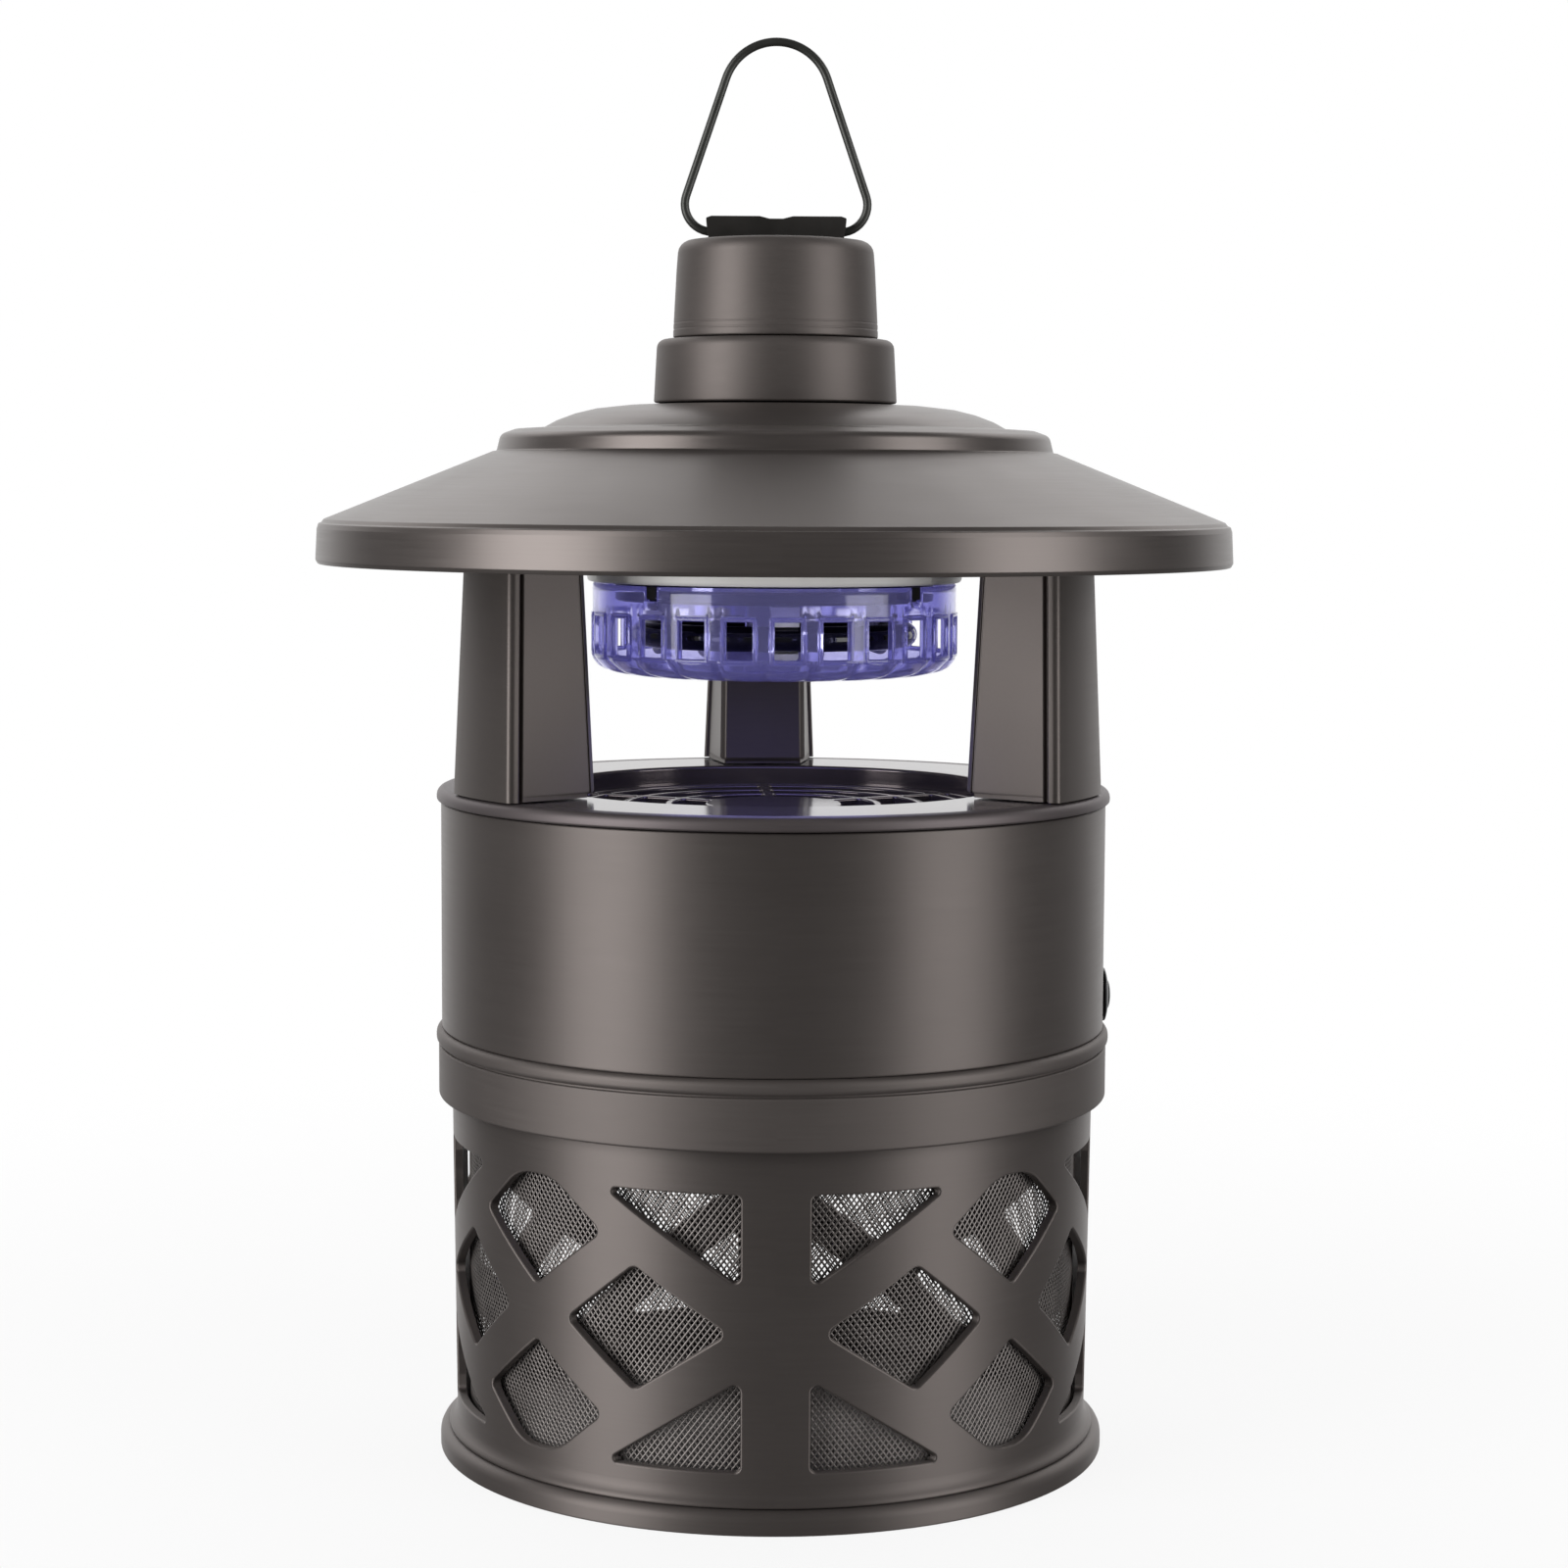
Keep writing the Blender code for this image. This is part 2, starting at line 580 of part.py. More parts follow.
def make_motor(kit):
    pocket = 4.3
    outline = rounded([(MOTOR_RADIUS, MOTOR_BOTTOM, 1.0), (MOTOR_RADIUS, MOTOR_TOP, 1.5),
                       (7.0, MOTOR_TOP), (7.0, MOTOR_TOP + 1.4), (pocket, MOTOR_TOP + 1.4),
                       (pocket, MOTOR_BOTTOM)], steps=1)
    kit.piece("fan_motor", lathe_mesh("fan_motor", outline, 20), "steel", "head")
    for name, low in (("motor_bush_lower", 105.0), ("motor_bush_upper", 117.0)):
        outline = [(pocket - 0.2, low), (pocket - 0.2, low + 3.5),
                   (SHAFT_RADIUS + 0.2, low + 3.5), (SHAFT_RADIUS + 0.2, low)]
        kit.piece(name, lathe_mesh(name, outline, 16), "brass", "head")
    kit.piece("motor_shaft", lathe_mesh("motor_shaft", [
        (0, 136), (SHAFT_RADIUS - 0.3, 136), (SHAFT_RADIUS, 135.7),
        (SHAFT_RADIUS, 104.6), (0, 104.6)], 16), "steel", "fan")


def make_rotor(kit):
    hub = 15.0
    outline = rounded([(hub, FAN_BOTTOM), (hub, FAN_TOP + 1.5, 2.0), (0, FAN_TOP + 1.5),
                       (0, FAN_TOP - 1.0), (SHAFT_RADIUS + 0.2, FAN_TOP - 1.0),
                       (SHAFT_RADIUS + 0.2, FAN_BOTTOM)], steps=2)
    start = outline.index((0.0, FAN_TOP + 1.5))
    outline = outline[start + 1:] + outline[:start + 1]
    rotor = kit.piece("fan_rotor", lathe_mesh("fan_rotor", outline, 20), "black", "fan")
    blades = []
    count = 5
    for index in range(count):
        sections = []
        for station in range(5):
            part = station / 4
            radius = hub - 1.5 + (FAN_RADIUS - hub + 1.5) * part
            pitch = math.radians(50 - 26 * part)
            half_chord = 7.5 + 5.5 * part
            across = Vector((0, math.cos(pitch), math.sin(pitch))) * half_chord
            across.z = max(min(across.z, 6.2), -6.2)
            thick = Vector((0, -math.sin(pitch), math.cos(pitch))) * 0.8
            middle = Vector((radius, 0, (FAN_BOTTOM + FAN_TOP) / 2))
            sections.append([middle - across - thick, middle + across - thick,
                             middle + across + thick, middle - across + thick])
        blades.append(turned(sections, 360 / count * index))
    kit.add(rotor, "rotor_blades", blocks_mesh("rotor_blades", blades))


# ----------------------------------------------------------- switch, inlet

def make_switch(kit):
    recess_radius = BUTTON_RADIUS + 0.35
    recess_floor = 72.2
    stem_radius = 1.8
    stem_floor = SWITCH_BACK + 1.6
    outline = rounded([(recess_radius, SWITCH_FACE), (recess_radius, recess_floor),
                       (stem_radius + 0.4, recess_floor), (stem_radius + 0.4, stem_floor),
                       (0, stem_floor), (0, SWITCH_BACK), (SWITCH_BARREL_RADIUS, SWITCH_BACK),
                       (SWITCH_BARREL_RADIUS, SHELL_RADIUS + GAP),
                       (SWITCH_BEZEL_RADIUS, SHELL_RADIUS + GAP),
                       (SWITCH_BEZEL_RADIUS - 0.4, SHELL_RADIUS + GAP + 0.5),
                       (recess_radius + 0.5, SWITCH_FACE)])
    start = outline.index((0, SWITCH_BACK))
    outline = outline[start:] + outline[:start]
    mesh = lay_along_x(lathe_mesh("switch_housing", outline, 16), SWITCH_HEIGHT)
    kit.piece("switch_housing", mesh, "black", "head")

    nut = blocks_mesh("switch_nut", [disc_sections(6.4, 68.8, 71.0, facets=6)])
    nut.transform(Matrix.Rotation(math.pi / 2, 4, "Z"))
    nut_piece = kit.piece("switch_nut", lay_along_x(nut, SWITCH_HEIGHT), "steel", "head")
    hole = blocks_mesh("switch_nut_hole", [disc_sections(SWITCH_BARREL_RADIUS + GAP, 60, 80)])
    kit.cut(nut_piece, "switch_nut_hole", lay_along_x(hole, SWITCH_HEIGHT))

    crown = SWITCH_FACE + 0.9
    free = BUTTON_TRAVEL + 0.5
    outline = [(0, crown), (BUTTON_RADIUS * 0.5, crown - 0.1),
               (BUTTON_RADIUS * 0.85, crown - 0.4), (BUTTON_RADIUS, crown - 0.8),
               (BUTTON_RADIUS, recess_floor + free), (stem_radius, recess_floor + free),
               (stem_radius, stem_floor + free), (0, stem_floor + free)]
    mesh = lay_along_x(lathe_mesh("switch_button", outline, 16), SWITCH_HEIGHT)
    kit.piece("switch_button", mesh, "black", "button")


def make_inlet(kit):
    socket_radius = 3.4
    socket_floor = INLET_BACK + 3.0
    flange_radius, flange_face = 7.5, 75.6
    outline = rounded([(socket_radius, flange_face), (socket_radius, socket_floor),
                       (0, socket_floor), (0, INLET_BACK), (INLET_RADIUS, INLET_BACK),
                       (INLET_RADIUS, SHELL_RADIUS + GAP), (flange_radius, SHELL_RADIUS + GAP),
                       (flange_radius, flange_face, 0.5)], steps=2)
    start = outline.index((0, INLET_BACK))
    outline = outline[start:] + outline[:start]
    mesh = lay_along_x(lathe_mesh("power_inlet", outline, 16), INLET_HEIGHT, 90)
    kit.piece("power_inlet", mesh, "black", "head")
    outline = [(0, 74.2), (0.7, 74.2), (1.0, 73.9), (1.0, socket_floor + GAP),
               (0, socket_floor + GAP)]
    mesh = lay_along_x(lathe_mesh("inlet_pin", outline, 12), INLET_HEIGHT, 90)
    kit.piece("inlet_pin", mesh, "steel", "head")
    nut = blocks_mesh("inlet_nut", [disc_sections(7.8, 68.6, 71.0, facets=6)])
    nut_piece = kit.piece("inlet_nut", lay_along_x(nut, INLET_HEIGHT, 90), "steel", "head")
    hole = blocks_mesh("inlet_nut_hole", [disc_sections(INLET_RADIUS + GAP, 60, 80)])
    kit.cut(nut_piece, "inlet_nut_hole", lay_along_x(hole, INLET_HEIGHT, 90))


# ------------------------------------------------------------------ posts

def post_section(height):
    """A post's outline at a height, with +X outwards: a curved outer plate that
    stands a little proud of the tapered sides."""
    part = (height - POST_BOTTOM) / (POST_TOP - POST_BOTTOM)
    outer = POST_FOOT_RADIUS + (POST_HEAD_RADIUS - POST_FOOT_RADIUS) * part
    inner = POST_FOOT_INNER + (POST_HEAD_INNER - POST_FOOT_INNER) * part
    half_outer = POST_FOOT_HALF + (POST_HEAD_HALF - POST_FOOT_HALF) * part
    half_inner = 9.8 - 0.5 * part
    plate = 2.2
    step = 1.0
    points = []
    for index in range(5):
        across = half_outer * (1 - index / 2)
        points.append((math.sqrt(outer ** 2 - across ** 2), across))
    edge = points[-1][0]
    tail = [(edge - plate, -half_outer), (edge - plate, -half_outer + step),
            (inner + 0.9, -half_inner), (inner, -half_inner + 0.9)]
    points += tail
    points += [(along, -across) for along, across in reversed(tail)]
    return [Vector((along, across, height)) for along, across in points]


def make_posts(kit):
    for name, azimuth in POST_AZIMUTHS.items():
        azimuth += HEAD_TURN
        sections = turned([post_section(POST_BOTTOM), post_section(POST_TOP)], azimuth)
        post = kit.piece(name, loft_mesh(name, sections), "bronze", "head")
        channel = turned(box_sections((CHANNEL_RADIUS - 3, -4.5, POST_BOTTOM - 5),
                                      (CHANNEL_RADIUS + 3, 4.5, POST_TOP + 5)), azimuth)
        holes = []
        for low, high in ((POST_BOTTOM - 5, POST_BOTTOM + 12), (POST_TOP - 12, POST_TOP + 5)):
            spot = polar(SCREW_CIRCLE, azimuth, 0)
            holes.append(disc_sections(SCREW_HOLE, low, high, spot.xy, 12))
        kit.cut(post, name + "_cuts", blocks_mesh(name + "_cuts", [channel, *holes]))
    for index, azimuth in enumerate(POST_AZIMUTHS.values(), 1):
        azimuth += HEAD_TURN
        kit.screw(f"post_screw_lower_{index}", DECK_UNDERSIDE - 2.4, POST_BOTTOM + 10, azimuth,
                  SCREW_CIRCLE)
        kit.screw(f"post_screw_upper_{index}", LINER_TOP + 2.2, POST_TOP - 10, azimuth,
                  SCREW_CIRCLE)


# ------------------------------------------------------------------- roof

def cone_height(radius):
    return 223.6 - (radius - 62.0) * ROOF_SLOPE


def make_roof(kit):
    outside = [(22.0, ROOF_TOP), (36.0, ROOF_TOP - 0.5), (47.9, 230.8), (52.5, 229.2),
               (57.0, 228.6), (60.4, 227.2), (61.5, 224.6), (62.6, cone_height(62.6)),
               (99.6, cone_height(99.6)), (101.2, 206.6), (ROOF_RADIUS, 200.6),
               (ROOF_RADIUS - 1.4, ROOF_BOTTOM)]
    inside = [(99.4, ROOF_BOTTOM), (99.2, 205.6), (98.0, cone_height(98.0) - 2.2),
              (62.0, cone_height(62.0) - 2.2), (52.0, 226.8), (22.0, ROOF_TOP - 2.4)]
    kit.piece("roof", lathe_mesh("roof", outside + inside), "bronze", "head")

    outline = [(3.0, LINER_TOP), (99.2 - GAP, LINER_TOP), (99.2 - GAP, LINER_BOTTOM),
               (3.0, LINER_BOTTOM)]
    liner = kit.piece("roof_liner", lathe_mesh("roof_liner", outline), "white", "head")
    holes = [disc_sections(SCREW_HOLE, 190, 210,
                           polar(SCREW_CIRCLE, azimuth + HEAD_TURN, 0).xy, 12)
             for azimuth in POST_AZIMUTHS.values()]
    spot = polar(CHANNEL_RADIUS, 180 + HEAD_TURN, 0)
    holes.append(disc_sections(CHANNEL_HOLE, 190, 210, spot.xy, 12))
    kit.cut(liner, "liner_holes", blocks_mesh("liner_holes", holes))

    outline = [(26.0, ROOF_TOP + 0.3), (24.2, ROOF_TOP + 0.3), (24.2, ROOF_TOP + 1.3),
               (26.0, ROOF_TOP + 1.3)]
    kit.piece("neck_seal", lathe_mesh("neck_seal", outline, 24), "rubber", "head")


def make_ballast(kit):
    """The lamp's driver, on two stand-offs under the roof."""
    board_low = LINER_TOP + 4.3
    half_x, half_y = 27.0, 18.0
    board = kit.piece("ballast_board", loft_mesh("ballast_board", box_sections(
        (-half_x, -half_y, board_low), (half_x, half_y, board_low + 1.6))), "board", "head")
    corners = [(half_x - 4, half_y - 4), (4 - half_x, 4 - half_y)]
    holes = [disc_sections(SCREW_HOLE, board_low - 2, board_low + 4, corner, 12)
             for corner in corners]
    kit.cut(board, "board_holes", blocks_mesh("board_holes", holes))
    for index, (x, y) in enumerate(corners, 1):
        name = f"board_standoff_{index}"
        outline = [(3.0, LINER_TOP + GAP), (3.0, board_low - GAP),
                   (SCREW_HOLE, board_low - GAP), (SCREW_HOLE, LINER_TOP + GAP)]
        mesh = lathe_mesh(name, outline, 12)
        mesh.transform(Matrix.Translation((x * MILLIMETRE, y * MILLIMETRE, 0)))
        kit.piece(name, mesh, "white", "head")
        azimuth = math.degrees(math.atan2(x, -y))
        kit.screw(f"board_screw_{index}", board_low + 1.9 + 1.8, LINER_TOP + GAP + 0.4, azimuth,
                  math.hypot(x, y))
    top = board_low + 1.6 + GAP
    kit.piece("ballast_coil", loft_mesh("ballast_coil", box_sections(
        (-17, -8, top), (-1, 8, top + 13))), "copper", "head")
    can = blocks_mesh("ballast_capacitor", [disc_sections(4.5, top, top + 14, (9, -5), 16)])
    kit.piece("ballast_capacitor", can, "black", "head")


# ------------------------------------------------------------------- lamp

def make_lamp(kit):
    top = LINER_BOTTOM - GAP
    outline = rounded([(6.0, top), (LAMP_PLATE_RADIUS, top),
                       (LAMP_PLATE_RADIUS, LAMP_PLATE_BOTTOM, 0.8), (6.0, LAMP_PLATE_BOTTOM)],
                      steps=1)
    kit.piece("lamp_plate", lathe_mesh("lamp_plate", outline), "white", "head")

    holder_top = LAMP_PLATE_BOTTOM - GAP
    holder_low = LAMP_HOLDER_BOTTOM
    outline = [(5.0, holder_top), (35.5, holder_top), (35.5, holder_low + 0.8),
               (34.7, holder_low), (5.0, holder_low)]
    holder = kit.piece("lamp_holder", lathe_mesh("lamp_holder", outline, 24), "black", "head")
    keys = [turned(box_sections((33, -1.3, 191.7), (GUARD_BAND_RADIUS - 0.1, 1.3, holder_top)),
                   azimuth + GUARD_TURN) for azimuth in KEY_AZIMUTHS]
    kit.add(holder, "holder_keys", blocks_mesh("holder_keys", keys))

    make_lamp_tube(kit)
    for index, azimuth in enumerate(LAMP_CLIP_AZIMUTHS, 1):
        make_lamp_clip(kit, f"lamp_clip_{index}", azimuth, holder_low - GAP)


def make_lamp_tube(kit):
    """A ring-shaped tube whose ends stop in a square base at the back."""
    base_half = 6.0
    open_half = math.degrees(math.asin((base_half + GAP) / (LAMP_RING_RADIUS - LAMP_TUBE_RADIUS)))
    sections = []
    steps = 28
    sides = 10
    for step in range(steps + 1):
        azimuth = 180 + open_half + (360 - 2 * open_half) * step / steps
        ring = []
        for side in range(sides):
            angle = 2 * math.pi * side / sides
            radius = LAMP_RING_RADIUS + LAMP_TUBE_RADIUS * math.cos(angle)
            ring.append(polar(radius, azimuth, LAMP_HEIGHT + LAMP_TUBE_RADIUS * math.sin(angle)))
        sections.append(ring)
    kit.piece("uv_lamp", loft_mesh("uv_lamp", sections), "glass", "head")
    base = box_sections((LAMP_RING_RADIUS - 5, -base_half, LAMP_HEIGHT - 4.2),
                        (LAMP_RING_RADIUS + 5, base_half, LAMP_HOLDER_BOTTOM - GAP))
    kit.piece("lamp_base", loft_mesh("lamp_base", turned(base, 180)), "white", "head")


def make_lamp_clip(kit, name, azimuth, top):
    """A hook under the holder: it runs down inside the tube and ends below it in a
    half-round tongue."""
    inner = LAMP_TUBE_RADIUS + 0.35
    outer = inner + 1.1
    half_width = 3.15
    corner = math.cos(math.radians(17.5))    # brings the flats of the arcs onto their radii
    bend = [(math.cos(math.radians(60 + 35 * step)), math.sin(math.radians(60 + 35 * step)))
            for step in range(7)]
    sections = []
    for part in (-1.0, -0.85, -0.5, 0.0, 0.5, 0.85, 1.0):
        full = math.sqrt(1 - part * part)
        outline = [(along * inner / corner, up * inner / corner) for along, up in bend]
        outline.append((0, -inner / corner - 0.5 - 1.7 * full))
        outline.append((bend[5][0] * outer / corner, bend[5][1] * outer / corner - full))
        outline += [(along * outer / corner, up * outer / corner) for along, up in bend[4:1:-1]]
        outline += [(-2.0, outer + 0.6), (-2.0, top - LAMP_HEIGHT), (2.0, top - LAMP_HEIGHT),
                    (2.0, outer), (bend[0][0] * outer / corner, bend[0][1] * outer / corner)]
        sections.append([Vector((LAMP_RING_RADIUS + along, part * half_width, LAMP_HEIGHT + up))
                         for along, up in outline])
    kit.piece(name, loft_mesh(name, turned(sections, azimuth)), "white", "head")


def make_lamp_guard(kit):
    wall = 1.5
    band = GUARD_BAND_RADIUS
    inner = [(0, GUARD_BOTTOM + wall), (28.0, GUARD_BOTTOM + wall), (34.2, 176.2),
             (GUARD_RADIUS - 3.2, 177.7), (GUARD_RADIUS - wall, 180.2),
             (GUARD_RADIUS - wall, GUARD_TOP)]
    outer = [(band, GUARD_TOP), (band, 187.0), (GUARD_RADIUS, 186.6), (GUARD_RADIUS, 180.0),
             (GUARD_RADIUS - 1.8, 176.8), (35.0, 174.7), (28.0, GUARD_BOTTOM),
             (0, GUARD_BOTTOM)]
    guard = kit.piece("lamp_guard", lathe_mesh("lamp_guard", inner + outer, GUARD_WINDOWS),
                      "violet", "guard")
    half = 3.1
    window = [(-half, 179.2), (half, 179.2), (half, 186.2), (-half, 186.2)]
    cutters = [window_sections(window, GUARD_TURN + 360 / GUARD_WINDOWS * index,
                               30, 46, GUARD_RADIUS) for index in range(GUARD_WINDOWS)]
    notch = [(-1.7, 191.3), (1.7, 191.3), (1.7, GUARD_TOP + 2), (-1.7, GUARD_TOP + 2)]
    cutters += [window_sections(notch, azimuth + GUARD_TURN, 36.5, 46, GUARD_RADIUS)
                for azimuth in KEY_AZIMUTHS]
    kit.cut(guard, "guard_windows", blocks_mesh("guard_windows", cutters))


# -------------------------------------------------------- neck, cap, loop

def make_neck(kit):
    base = ROOF_TOP + GAP
    outline = rounded([(23.4, base + 1.3), (26.2, base + 1.3), (26.2, base), (NECK_RADIUS, base),
                       (NECK_RADIUS - 0.7, NECK_TOP, 1.8), (17.0, NECK_TOP),
                       (17.0, NECK_TOP - WALL), (23.4, NECK_TOP - WALL - 1)], steps=2)
    kit.piece("neck_ring", lathe_mesh("neck_ring", outline, 28), "bronze", "head")

    low = NECK_TOP + GAP
    outline = rounded([(20.4, low), (CAP_RADIUS, low), (CAP_RADIUS - 0.7, 263.5),
                       (CAP_RADIUS - 1.3, CAP_TOP, 3.4), (2.2, CAP_TOP), (2.2, CAP_TOP - 2.5),
                       (19.6, CAP_TOP - 2.5)], steps=3)
    kit.piece("top_cap", lathe_mesh("top_cap", outline, 28), "bronze", "head")

    make_bracket(kit)
    screw_head = CAP_TOP - 2.5 - GAP - 1.8
    kit.screw("bracket_screw", screw_head, 273.4, 0, 0, head_radius=4.0, shank_radius=1.7)


def make_bracket(kit):
    half_depth = 4.2
    dip_half, dip = 3.7, 0.55
    low = CAP_TOP + GAP
    front = [(-BRACKET_HALF + 0.4, low), (BRACKET_HALF - 0.4, low), (BRACKET_HALF, low + 1.2),
             (BRACKET_HALF, BRACKET_TOP - 0.5), (BRACKET_HALF - 0.6, BRACKET_TOP),
             (dip_half, BRACKET_TOP), (dip_half * 0.4, BRACKET_TOP - dip),
             (-dip_half * 0.4, BRACKET_TOP - dip), (-dip_half, BRACKET_TOP),
             (0.6 - BRACKET_HALF, BRACKET_TOP), (-BRACKET_HALF, BRACKET_TOP - 0.5),
             (-BRACKET_HALF, low + 1.2)]
    sections = [[Vector((x, depth, z)) for x, z in front] for depth in (-half_depth, half_depth)]
    bracket = kit.piece("loop_bracket", loft_mesh("loop_bracket", sections), "dark", "head")
    bores = []
    for side in (-1, 1):
        ends = sorted((side * 7.5, side * 20.0))
        sections = disc_sections(WIRE_RADIUS + 0.35, *ends, facets=16)
        bores.append([[Vector((p.z, p.x, p.y + PIVOT_HEIGHT)) for p in section]
                      for section in sections])
    screw_hole = disc_sections(2.0, low - 2, 273.9, facets=12)
    kit.cut(bracket, "bracket_bores", blocks_mesh("bracket_bores", bores + [screw_hole]))


def loop_route():
    """The wire's centre line in the XZ plane: a pin at each end, two round lower
    corners, and straight legs that are tangent to the round arch."""
    corner = Vector((LOOP_CORNER_X, PIVOT_HEIGHT + LOOP_CORNER_RADIUS))
    arch = Vector((0, LOOP_TOP - LOOP_ARCH_RADIUS))
    between = arch - corner
    lean = (math.atan2(between.y, between.x)
            - math.acos((LOOP_CORNER_RADIUS - LOOP_ARCH_RADIUS) / between.length))
    half = [Vector((BRACKET_HALF - 6.0, PIVOT_HEIGHT)), Vector((12.0, PIVOT_HEIGHT))]
    corner_steps = 8
    for step in range(corner_steps + 1):
        angle = -math.pi / 2 + (lean + math.pi / 2) * step / corner_steps
        half.append(corner + LOOP_CORNER_RADIUS * Vector((math.cos(angle), math.sin(angle))))
    arch_steps = 8
    for step in range(arch_steps + 1):
        angle = lean + (math.pi / 2 - lean) * step / arch_steps
        half.append(arch + LOOP_ARCH_RADIUS * Vector((math.cos(angle), math.sin(angle))))
    mirrored = [Vector((-point.x, point.y)) for point in reversed(half[:-1])]
    return [(point.x, 0, point.y) for point in half + mirrored]


def make_loop(kit):
    kit.tube("hang_loop", loop_route(), WIRE_RADIUS, "dark", "loop")


# ------------------------------------------------------------------ leads

def make_leads(kit):
    """Insulated leads that run between the switch, the inlet, the motor and the
    lamp's driver."""
    back = 180 + HEAD_TURN
    route = [polar(INLET_BACK - 0.8, 180, INLET_HEIGHT), polar(61.2, 180, INLET_HEIGHT),
             polar(59.6, 176.5, INLET_HEIGHT - 0.6)]
    route += [polar(59.5, azimuth, 103.5) for azimuth in (165, 150, 135, 120, 107)]
    route += [(57.4, 9.0, 102.6), (58.6, 4.4, 102.0), (60.0, 3.1, 101.9), (61.4, 3.0, 101.9)]
    kit.tube("inlet_lead", smooth_route(route, 2), LEAD_RADIUS, "lead", "head")

    route = [(61.4, -1.8, SWITCH_HEIGHT), (57.0, -2.6, 100.6), (48.0, -4.0, 97.6),
             (34.0, -5.0, 96.2), (20.0, -4.0, 96.4), (12.0, -1.4, 97.6), (10.0, 0, 99.6),
             (9.9, 0, 101.3)]
    kit.tube("motor_lead", smooth_route(route, 3), LEAD_RADIUS, "lead", "head")

    route = [(61.4, -0.6, 104.8), (59.9, -0.4, 104.8), (58.2, 3.4, 106.0)]
    route += [polar(58.5, azimuth, 108 + (azimuth - 100) * 0.28)
              for azimuth in (100, 116, 132, 148, 162)]
    route += [polar(58.5, 173, 129), polar(CHANNEL_RADIUS, back, 138)]
    route += [polar(CHANNEL_RADIUS, back, height) for height in (150, 162, 174, 186, 198)]
    route += [polar(CHANNEL_RADIUS - 0.6, back, 206), polar(53, back, 212),
              polar(42, back, 214.5), polar(28, back, 213), polar(16, back, 209.5),
              polar(14.5, back, LINER_TOP + 6.4)]
    kit.tube("lamp_lead", smooth_route(route, 2), LEAD_RADIUS, "lead", "head")


# --------------------------------------------------------------- assembly

def main():
    for old in list(bpy.data.objects):
        bpy.data.objects.remove(old, do_unlink=True)
    kit = Assembly()
    kit.body("cage", (0, 0, 0))
    kit.body("collar", (0, 0, COLLAR_BOTTOM), "cage")
    kit.body("head", (0, 0, SHELL_BOTTOM), "collar")
    kit.body("fan", (0, 0, FAN_BOTTOM), "head")
    kit.body("guard", (0, 0, GUARD_TOP), "head")
    kit.body("button", (SWITCH_FACE, 0, SWITCH_HEIGHT), "head")
    kit.body("loop", (0, 0, PIVOT_HEIGHT), "head")
    for make in (make_cage, make_collar, make_shell, make_deck, make_fan_guard, make_duct,
                 make_motor, make_rotor, make_switch, make_inlet, make_posts, make_roof,
                 make_ballast, make_lamp, make_lamp_guard, make_neck, make_loop, make_leads):
        make(kit)


main()
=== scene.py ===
"""Looks of the lantern insect trap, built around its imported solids.

Lengths are in millimetres and become metres where a mesh is made. Up is +Z, the
front is -Y, and an azimuth is counted in degrees from the front towards +X.
"""

import math

import bmesh
import bpy
from mathutils import Matrix, Vector, geometry


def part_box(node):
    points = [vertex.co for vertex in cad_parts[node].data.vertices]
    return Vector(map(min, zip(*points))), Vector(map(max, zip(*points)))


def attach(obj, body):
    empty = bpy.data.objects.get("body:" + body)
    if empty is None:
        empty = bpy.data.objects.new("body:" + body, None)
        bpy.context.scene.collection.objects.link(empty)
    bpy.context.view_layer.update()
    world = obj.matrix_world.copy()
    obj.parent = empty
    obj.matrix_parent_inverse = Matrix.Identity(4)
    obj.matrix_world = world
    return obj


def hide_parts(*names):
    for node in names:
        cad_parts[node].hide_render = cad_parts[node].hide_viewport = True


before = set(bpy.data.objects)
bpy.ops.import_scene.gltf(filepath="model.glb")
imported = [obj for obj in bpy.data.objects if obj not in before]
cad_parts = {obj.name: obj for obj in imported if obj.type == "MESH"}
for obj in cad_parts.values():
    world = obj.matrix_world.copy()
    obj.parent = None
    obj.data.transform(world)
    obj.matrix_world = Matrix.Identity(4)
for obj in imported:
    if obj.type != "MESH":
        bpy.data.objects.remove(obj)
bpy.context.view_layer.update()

MILLIMETRE = 0.001
FACETS = 160            # facets around a large round piece


def low(node):
    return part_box(node)[0] / MILLIMETRE


def high(node):
    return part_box(node)[1] / MILLIMETRE


# Sizes read from the frame
BASE_RADIUS = high("base_tray").x
BASE_HEIGHT = high("base_tray").z
CAGE_TOP = high("cage_shell").z
COLLAR_BOTTOM = low("locking_collar").z
COLLAR_TOP = high("locking_collar").z
BEAD_RADIUS = high("locking_collar").x
SPIGOT_BOTTOM = low("body_shell").z
SHELL_RADIUS = high("body_shell").x
SHELL_TOP = high("body_shell").z
DECK_RADIUS = high("deck_ring").x
DECK_TOP = high("deck_ring").z
DECK_FLOOR = high("fan_guard").z
GRILLE_BOTTOM = low("fan_guard").z
GRILLE_RADIUS = high("fan_guard").x
POST_BOTTOM = low("post_back").z
POST_TOP = high("post_back").z
ROOF_RADIUS = high("roof").x
ROOF_BOTTOM = low("roof").z
ROOF_TOP = high("roof").z
GUARD_TOP = high("lamp_guard").z
GUARD_BOTTOM = low("lamp_guard").z
PLATE_RADIUS = high("lamp_plate").x
PLATE_BOTTOM = low("lamp_plate").z
LAMP_HEIGHT = (low("uv_lamp").z + high("uv_lamp").z) / 2
LAMP_TUBE_RADIUS = (high("uv_lamp").z - low("uv_lamp").z) / 2
LAMP_RING_RADIUS = high("uv_lamp").x - LAMP_TUBE_RADIUS
NECK_RADIUS = high("neck_ring").x
NECK_TOP = high("neck_ring").z
CAP_RADIUS = high("top_cap").x
CAP_TOP = high("top_cap").z
BRACKET_TOP = high("loop_bracket").z
